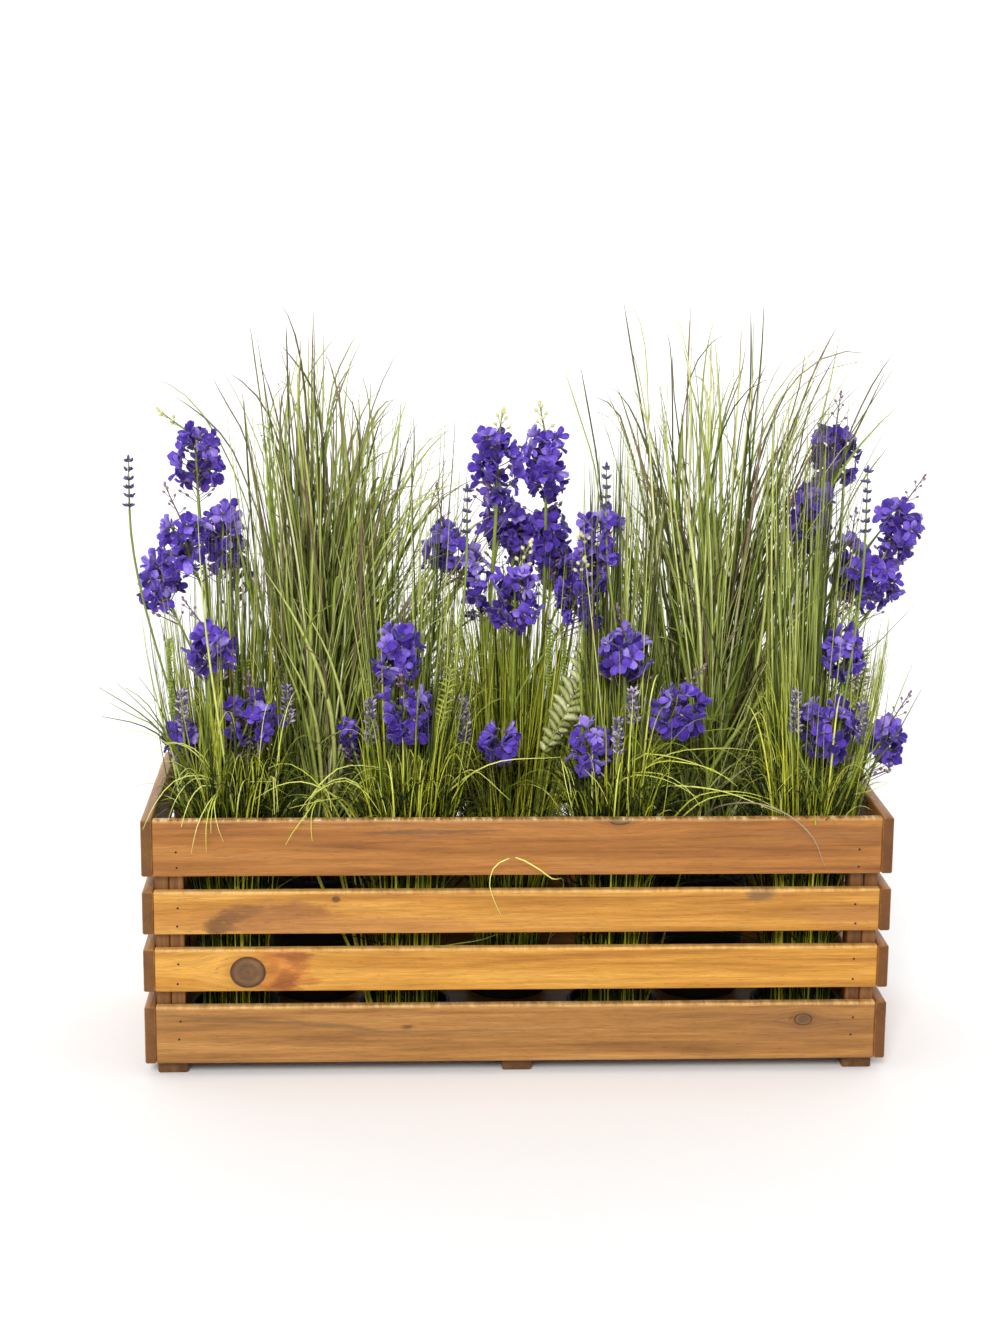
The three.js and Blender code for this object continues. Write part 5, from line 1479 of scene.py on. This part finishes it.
def add_sprigs():
    for number, (side, tip, length) in enumerate(SPRIGS):
        net = Net()
        tip = np.array(tip, float)
        root = np.array([*(0.7 * np.array(TUFT_POTS[side]) + 0.3 * tip[:2]), LOW_ROOT_Z])
        bend = root * [0.5, 0.5, 1] + tip * [0.5, 0.5, 0] + [0, 0, 160]
        way = bezier(root, bend, tip - [0, 0, 150], tip, 18)
        add_tubes(net, way, np.linspace(1.3, 0.8, 18), 6, 0.6)
        levels = np.arange(0, length, 3.4)
        turn = levels * 0.5 + between(0, 6)
        places = at_height(way[0], tip[2] - levels)
        few = len(levels)
        for third in range(3):
            angle = turn + third * 2.1 + between(-0.4, 0.4, few)
            out = np.column_stack([np.cos(angle), np.sin(angle), between(0.3, 0.9, few)])
            add_beads(net, places, out, between(3.6, 5.6, few), 1.35, between(0.7, 1, few))
        piece(net, f"tuft_{side}_sprig_{number + 1}", STEM_FINISH, "bright_grass")


# ---- stems ----


def hole_of(pot, angle):
    x, y = TUFT_POTS[pot]
    turn = math.radians(angle)
    return np.array([x + STEM_RING * math.cos(turn), y + STEM_RING * math.sin(turn), SEAT_Z])


def forked_ways(pot, angle, ends):
    """A trunk out of the hole up to the first end, and a fork off it up to each other end."""
    foot = hole_of(pot, angle)
    bend = foot * [1, 1, 0] + [0, 0, UPRIGHT]
    top = np.array(ends[0], float)
    rise = [0, 0, 0.32 * (top[2] - UPRIGHT)]
    upper = bezier(bend, bend + rise, top - rise, top, 16)[0]
    trunk = np.concatenate([[foot, (foot + bend) / 2], upper])
    ways = [trunk]
    for end in ends[1:]:
        end = np.array(end, float)
        sideways = math.hypot(*(end[:2] - bend[:2]))
        z = min(top[2] - 70, max(UPRIGHT + 12, end[2] - 60 - 1.2 * sideways))
        start = at_height(trunk, z)
        rise = [0, 0, 0.3 * (end[2] - start[2])]
        ways.append(bezier(start, start + rise, end - rise, end, 14)[0])
    return ways


# ---- flower sprays ----

PETAL_ROWS = np.array([0.0, 0.16, 0.34, 0.52, 0.68, 0.82, 0.93, 1.0])
PETAL_HALVES = np.array([0.07, 0.12, 0.21, 0.29, 0.33, 0.3, 0.19, 0.04])
PETAL_COLUMNS = np.linspace(-1, 1, 5)


def add_florets(net, centres, facings, reaches, lucks):
    """Five-petalled florets: petals rise from the throat, then bend out, each in its own way."""
    count = len(centres)
    facings = unit(facings)
    guide = np.where(np.abs(facings[:, 2:]) > 0.9, [[1.0, 0, 0]], [[0, 0, 1.0]])
    first = unit(np.cross(guide, facings))
    second = np.cross(facings, first)
    spin = between(0, TURN, count)[:, None] + ring_angles(5)
    spin = (spin + between(-0.2, 0.2, count, 5))[..., None, None]
    s = PETAL_ROWS[None, None, :, None]
    t = PETAL_COLUMNS[None, None, None, :]
    size = reaches[:, None, None, None] * between(0.8, 1.12, count, 5)[..., None, None]
    opening = between(0, 1, count)[:, None, None, None]
    throat = 1.35 - 0.5 * opening + between(-0.15, 0.15, count, 5)[..., None, None]
    brim = 0.75 - 1.0 * opening + between(-0.45, 0.35, count, 5)[..., None, None]
    climb = throat + (brim - throat) * s**0.7
    steps = np.diff(s, axis=2, prepend=0)
    radial = 0.05 + np.cumsum(steps * np.cos(climb), axis=2)
    lift = np.cumsum(steps * np.sin(climb), axis=2)
    width = PETAL_HALVES[None, None, :, None] * between(0.85, 1.2, count, 5)[..., None, None]
    across = size * width * t
    phase = between(0, 6.3, count, 5)[..., None, None]
    dish = between(-0.1, 0.28, count, 5)[..., None, None]
    ruffle = 0.06 * s * np.sin(3.1 * t + 5 * s + phase) + dish * t * t * s
    lean = between(-0.25, 0.25, count, 5)[..., None, None]
    x0 = size * (radial - ruffle * np.sin(climb) - 0.06 * s * t * t)
    z0 = size * (lift + ruffle * np.cos(climb)) + across * lean
    x = x0 * np.cos(spin) - across * np.sin(spin)
    y = x0 * np.sin(spin) + across * np.cos(spin)
    basis = [v[:, None, None, None] for v in (first, second, facings)]
    points = centres[:, None, None, None] + x[..., None] * basis[0] + y[..., None] * basis[1]
    points = points + z0[..., None] * basis[2]
    rows, columns = len(PETAL_ROWS), len(PETAL_COLUMNS)
    index = np.arange(count * 5 * rows * columns).reshape(-1, rows, columns)
    faces = np.stack(
        [index[:, :-1, :-1], index[:, 1:, :-1], index[:, 1:, 1:], index[:, :-1, 1:]], axis=-1
    )
    marks = np.zeros((count, 5, rows, columns, 3))
    marks[..., 0] = s
    marks[..., 1] = np.clip(lucks[:, None] + between(-0.28, 0.28, count, 5), 0, 1)[..., None, None]
    marks[..., 2] = t
    net.add(points, faces, marks.reshape(-1, 3))


def on_way(way, heights):
    """The places on a rising way at the given heights, or straight over or under its ends."""
    places = at_height(way, heights)
    places[:, 2] = heights
    return places


def add_head(petals, stems, buds, place, branch):
    """A flower head: florets in a ragged spiral round its branch on short stalks, buds below."""
    x, y, z, width, height = place
    middle = np.array([x, y, z], float)
    count = max(8, round(width * height / FLORET_ROOM))
    i = np.arange(count)
    level = np.clip((i + 0.5) / count * 2 - 1 + between(-0.14, 0.14, count), -1, 1)
    angle = i * FLORET_TURN + between(0, 6.3) + between(-0.5, 0.5, count)
    reach = np.minimum(FLORET_REACH, 0.34 * width) * between(0.82, 1.12, count)
    tilt = 0.5 * level + between(-0.7, 0.7, count)
    turned = angle + between(-0.6, 0.6, count)
    facings = np.column_stack(
        [np.cos(turned) * np.cos(tilt), np.sin(turned) * np.cos(tilt), np.sin(tilt)]
    )
    body = np.sqrt(np.maximum(0.12, 1 - (0.8 * level) ** 2))
    out = np.maximum(3, (width / 2 - 0.78 * reach) * body * between(0.35, 1.3, count))
    rise = level * (height / 2 - 0.7 * reach)
    centres = middle + np.column_stack([out * np.cos(angle), out * np.sin(angle), rise])
    # Painted light: florets higher on a head are lighter, as if lit from above; the rest is random
    # tone.
    lucks = np.clip(0.45 + 0.22 * level + between(-0.35, 0.35, count), 0, 1)
    add_florets(petals, centres, facings, reach, lucks)
    base = on_way(branch, z + rise - 0.4 * out - 3)
    back = centres - facings * 1.5
    ways = bezier(base, (base + back) / 2 - [0, 0, 1.5], back - facings * 3, back, 5)
    add_tubes(stems, ways, 0.6, 6, between(0, 0.35, count))
    add_beads(stems, back - facings * 2.5, facings, 5.5, 1.8, between(0.1, 0.5, count))
    open_ones = between(0, 1, count) < 0.5
    throats, facings = (centres + facings)[open_ones], facings[open_ones]
    few = len(throats)
    for third in range(3):
        side = 0.22 * outward(angle + 2.1 * third)[open_ones]
        lengths = (reach * between(0.3, 0.45, count))[open_ones]
        add_beads(buds, throats, facings + side, lengths, 0.4, between(0.6, 0.95, few), around=4)
    angle = between(0, 6.3, LOW_BUDS)
    reach = between(0.16, 0.44, LOW_BUDS) * width
    low = on_way(branch, z - between(0.3, 0.58, LOW_BUDS) * height)
    low = low + outward(angle) * reach[:, None]
    root = on_way(branch, low[:, 2] - 0.5 * reach - 2)
    add_tubes(stems, bezier(root, root + (low - root) * 0.3, low, low, 4), 0.45, 6, 0.2)
    add_beads(buds, low, low - root, between(4, 6.5, LOW_BUDS), between(1.4, 2.1, LOW_BUDS),
              between(0, 0.3, LOW_BUDS))


def add_twig(stems, buds, start, tip, kind):
    """A twig of small buds on short side stalks. kind 0 is pinkish, 1 cream."""
    start, tip = np.array(start, float), np.array(tip, float)
    sides = 7
    way = bezier(start, start + (tip - start) * 0.35, tip - (tip - start) * 0.3, tip, 6)
    stalk = 0.15 + 0.6 * kind
    add_tubes(stems, way, np.linspace(0.9, 0.5, 6) * (1 + 0.5 * kind), 6, stalk)
    share = np.linspace(0.3, 0.95, sides)
    at = start + (tip - start) * share[:, None]
    angle = np.arange(sides) * 2.3
    along = unit(tip - start)
    out = np.stack([np.cos(angle), 0.8 * np.sin(angle), 0 * angle], -1)
    ends = at + out * (9 * (1.15 - share))[:, None] + along * 5
    add_tubes(stems, bezier(at, at + out * 2, ends - along * 2, ends, 4), 0.4, 6, stalk)
    swell = 1 + 0.5 * kind
    add_beads(buds, ends - along * 0.5, ends - at, 3.6 * swell, 1.45 * swell,
              0.1 + 0.85 * kind + between(-0.08, 0.05, sides))
    add_beads(buds, tip, along, 3.8 * swell, 1.5 * swell, 0.1 + 0.85 * kind)


# Twigs that stand above heads: [spray, head number, tip from the head's middle, kind].
TWIGS = [
    ("flowers_left_tall", 0, (-38, 0, 50), 0.8),
    ("flowers_left_tall", 1, (-18, 0, 62), 0.2),
    ("flowers_left_tall", 3, (8, 0, 58), 0.1),
    ("flowers_left_low", 0, (-26, 0, 52), 0.1),
    ("flowers_left_low", 1, (-2, 0, 50), 0.2),
    ("flowers_centre_left", 0, (4, 0, 53), 0.8),
    ("flowers_centre_left", 2, (-8, 0, 66), 0.1),
    ("flowers_centre_right", 0, (-8, 0, 64), 1.0),
    ("flowers_centre_right", 2, (-14, -30, 40), 0.9),
    ("flowers_centre_front", 0, (14, -22, 64), 1.0),
    ("flowers_centre_front", 1, (2, -30, 50), 1.0),
    ("flowers_mid_left", 0, (12, 0, 56), 0.1),
    ("flowers_mid_left", 1, (-6, 0, 44), 0.2),
    ("flowers_mid_right", 0, (-8, 0, 50), 0.1),
    ("flowers_mid_right", 1, (26, 0, 48), 0.2),
    ("flowers_right_tall", 0, (4, 0, 66), 0.1),
    ("flowers_right_tall", 2, (24, 0, 56), 0.1),
    ("flowers_right_tall", 3, (4, 0, 62), 0.1),
    ("flowers_right_low", 2, (20, 0, 52), 0.1),
]


def add_sprays():
    for name, (pot, angle, heads) in SPRAYS.items():
        petals, stems, buds = Net(), Net(), Net()
        seats = [(x, y, z + 0.3 * height) for x, y, z, _, height in heads]
        ways = forked_ways(pot, angle, seats)
        for i, way in enumerate(ways):
            radius = BRANCH_RADIUS if i else STEM_RADIUS
            radii = np.full(len(way), radius)
            radii[-4:] = [radius, 0.8 * radius, 0.6 * radius, 0.4 * radius]
            add_tubes(stems, way, radii, 8, between(0.55, 0.85))
        for head, way in zip(heads, ways):
            add_head(petals, stems, buds, head, way)
        for spray, number, off, kind in TWIGS:
            if spray == name:
                x, y, z, _, height = heads[number]
                add_twig(stems, buds, (x, y, z + 0.3 * height), np.add((x, y, z), off), kind)
        shown = piece(petals, f"{name}_petals", PETAL_FINISH, "petal", name)
        solid = shown.modifiers.new("thickness", "SOLIDIFY")
        solid.thickness = PETAL_THICKNESS * MM
        solid.offset = 0
        piece(stems, f"{name}_stems", STEM_FINISH, "stem")
        piece(buds, f"{name}_buds", BUD_FINISH, "bud")


# ---- lavender ----


def add_spike(buds, base, tip, whorls, loose):
    """Whorls of buds up a sprig: spaced and dark on a loose one, close and pale on a dense one."""
    length = np.linalg.norm(np.subtract(tip, base))
    along = unit(np.subtract(tip, base, dtype=float))
    if not loose:
        whorls += 1
    count = 8 if loose else 13
    for i in range(whorls):
        share = (i + 0.4) / whorls
        out = outward(between(0, 6.3) + ring_angles(count) + between(-0.2, 0.2, count))
        middle = np.add(base, along * length * share)
        swell = (5.0 if loose else 9.0) * (1 - 0.45 * share)
        starts = middle + out * (0.4 * swell * between(0.4, 1.5, count))[:, None]
        starts = starts + along * between(-1.2, 1.2, count)[:, None] * (0.4 if loose else 2.6)
        lucks = between(0, 0.45, count) if loose else between(0.1, 1, count)
        add_beads(buds, starts, out * 0.9 + along * between(0.3, 1.1, count)[:, None],
                  between(3.2, 7.2, count), 1.45 if loose else 1.15, lucks)
    add_beads(buds, np.subtract(tip, along * 4), along, 6, 1.7, 0.3 if loose else 0.8)


def add_lavenders():
    for name, (pot, angle, sprigs) in LAVENDERS.items():
        buds, stems = Net(), Net()
        bases = [(x, y, z - length) for x, y, z, length, _ in sprigs]
        ways = forked_ways(pot, angle, bases)
        for way, base, (x, y, z, length, whorls) in zip(ways, bases, sprigs):
            add_tubes(stems, way, 1.3, 8, between(0.5, 0.8))
            middle = np.add(base, (0, 0, length / 2))
            add_tubes(stems, [base, middle, (x, y, z)], [1.2, 0.9, 0.5], 6, 0.7)
            add_spike(buds, base, (x, y, z), whorls, z > LOOSE_ABOVE)
        piece(buds, f"{name}_buds", LAVENDER_FINISH, "lavender", name)
        piece(stems, f"{name}_stems", STEM_FINISH, "stem")


# ---- ferns ----


def add_frond(net, base, tip, half_width, pairs, fullness):
    """A frond that bows to the front: a rib, and pairs of leaflets that get shorter to the tip."""
    base, tip = np.array(base, float), np.array(tip, float)
    along = tip - base
    length = np.linalg.norm(along)
    along = along / length
    across = unit(np.array([along[2], 0, -along[0]]))
    depth = np.array([0, 1, 0])
    arch = 0.12 * length
    s = np.linspace(0, 1, 14)[:, None]
    rib = base + along * s * length - depth * (arch * np.sin(np.pi * s))
    add_tubes(net, rib, np.linspace(1.1, 0.4, 14), 6, 0.4)
    shares = (np.arange(pairs) + 0.5) / pairs
    swell = np.sin(np.pi * np.minimum(1, 0.25 + 0.72 * (1 - shares)))
    shape = np.sin(np.pi * np.clip(0.12 + 0.86 * np.linspace(0, 1, 7), 0, 1)) ** 0.6
    half = (fullness * length / pairs * shape)[None, :, None]
    for side in (-1, 1):
        widths = half_width * (0.25 + 0.75 * swell)
        widths = (widths * between(0.78, 1.12, pairs))[:, None]
        roots = base + along * shares[:, None] * length
        roots = roots - depth * (arch * np.sin(np.pi * shares))[:, None]
        ends = roots + side * across * widths + along * (0.45 * widths)
        ends = ends + depth * (between(-0.1, 0.5, pairs)[:, None] * widths)
        ends = ends + along * (between(-0.25, 0.25, pairs)[:, None] * widths)
        middle = (roots + ends) / 2 + along * 0.12 * widths
        ways = bezier(roots, middle, middle, ends, 7)
        flat = unit(along - across * side * 0.3) * half
        out = unit(np.cross(unit(ends - roots), along))[:, None] * side
        cupped = out * 0.15 * half
        rings = np.stack(
            [ways + flat + cupped, ways + out * 0.25, ways - flat + cupped, ways - out * 0.25],
            axis=2,
        )
        if side < 0:
            rings = rings[:, :, ::-1]
        lucks = between(0.55, 1, pairs) if fullness > 0.3 else between(0, 0.42, pairs)
        net.loft(rings, spread(ways, lucks, 0, 4))


def add_ferns():
    for name, (pot, angle, base, tip, half_width, pairs, fullness) in FERNS.items():
        leaves, stems = Net(), Net()
        add_frond(leaves, base, tip, half_width, pairs, fullness)
        add_tubes(stems, forked_ways(pot, angle, [base])[0], 1.4, 8, 0.7)
        piece(leaves, f"{name}_leaves", FERN_FINISH, "fern", name)
        piece(stems, f"{name}_stem", STEM_FINISH, "stem")


# ---- blades that stray over the front ----

# Each stray: the node it grows from, its width, its colour's place on the ramp, and its way.
STRAYS = [
    ("tuft_centre", 1.5, 0.97,
     [(30, 10, 56), (46, -60, 150), (46, -128, 214), (35, -152, 221), (16, -161, 237),
      (-8, -164, 248), (-27, -164, 238), (-32, -163, 218), (-27, -161, 200), (-19, -158, 181)]),
    ("tuft_centre", 1.2, 0.4,
     [(-30, 10, 56), (-96, -60, 100), (-100, -120, 136), (-84, -151, 146), (-63, -159, 152),
      (-42, -161, 156), (-22, -159, 162)]),
    ("grass_tall_right", 1.8, 0.4,
     [(200, 30, 161), (205, -40, 250), (229, -110, 291), (257, -140, 299), (286, -160, 291),
      (310, -163, 269), (325, -160, 235)]),
]
STRAY_POINTS = 40


def add_strays():
    taper = np.minimum(1, (1 - np.linspace(0, 1, STRAY_POINTS)) * 3 + 0.25)
    for number, (node, width, luck, places) in enumerate(STRAYS):
        net = Net()
        kind, finish = (1.5, BUD_FINISH) if node.startswith("grass") else (0.2, TUFT_FINISH)
        add_tubes(net, through(places, STRAY_POINTS), 0.5 * width * taper, 6, luck, kind)
        piece(net, f"{node}_stray_{number + 1}", finish, "bright_grass")


# ---- studio ----


def add_camera():
    data = bpy.data.cameras.new("camera")
    camera = bpy.data.objects.new("camera", data)
    bpy.context.scene.collection.objects.link(camera)
    yaw, pitch, roll = (math.radians(a) for a in (CAMERA_YAW, CAMERA_PITCH, CAMERA_ROLL))
    level = math.cos(pitch)
    forward = Vector((math.sin(yaw) * level, math.cos(yaw) * level, -math.sin(pitch)))
    right = Vector((math.cos(yaw), -math.sin(yaw), 0))
    up = right.cross(forward)
    across = right * math.cos(roll) + up * math.sin(roll)
    above = up * math.cos(roll) - right * math.sin(roll)
    turn = Matrix((across, above, -forward)).transposed().to_4x4()
    camera.matrix_world = Matrix.Translation(Vector(CAMERA_PLACE) * MM) @ turn
    data.lens = CAMERA_LENS
    data.sensor_width = CAMERA_SENSOR
    data.clip_start, data.clip_end = CAMERA_NEAR, CAMERA_FAR
    bpy.context.scene.camera = camera


def add_sweep():
    """White paper on the floor that bends up behind the box."""
    profile = [(SWEEP_FRONT, 0.0), (SWEEP_START, 0.0)]
    for bend in np.linspace(0, np.pi / 2, 13)[1:]:
        y = SWEEP_START + SWEEP_RADIUS * math.sin(bend)
        profile.append((y, SWEEP_RADIUS * (1 - math.cos(bend))))
    profile.append((SWEEP_START + SWEEP_RADIUS, SWEEP_TOP))
    points = [(x, y, z) for y, z in profile for x in (-SWEEP_SIDE, SWEEP_SIDE)]
    faces = [(2 * i, 2 * i + 1, 2 * i + 3, 2 * i + 2) for i in range(len(profile) - 1)]
    mesh = bpy.data.meshes.new("sweep")
    mesh.from_pydata(points, [], faces)
    mesh.polygons.foreach_set("use_smooth", [True] * len(faces))
    sweep = bpy.data.objects.new("sweep", mesh)
    bpy.context.scene.collection.objects.link(sweep)
    shade = Shade("paper")
    paper = shade.noise(shade.object_place(), 40, 2)
    mesh.materials.append(shade.finish(shade.mix(paper, (251, 251, 251), (253, 253, 253)), 0.9))


def add_studio():
    add_sweep()
    world = bpy.data.worlds.new("studio")
    world.use_nodes = True
    world.node_tree.nodes["Background"].inputs["Color"].default_value = (1, 1, 1, 1)
    world.node_tree.nodes["Background"].inputs["Strength"].default_value = SKY
    bpy.context.scene.world = world
    bpy.context.scene.view_settings.view_transform = "Standard"
    data = bpy.data.lights.new("key", "SUN")
    data.energy, data.angle = KEY, math.radians(KEY_SPREAD)
    lamp = bpy.data.objects.new("key", data)
    bpy.context.scene.collection.objects.link(lamp)
    lamp.rotation_euler = Vector(KEY_FROM).to_track_quat("Z", "Y").to_euler()


add_camera()
add_studio()
add_box()
add_nails()
add_pots()
for side, centre in TALL_POTS.items():
    add_tall_grass(side, centre)
for side, centre in TUFT_POTS.items():
    add_tuft(side, centre)
add_risers()
add_shoots()
add_sprigs()
add_sprays()
add_lavenders()
add_ferns()
add_strays()

bpy.context.view_layer.update()
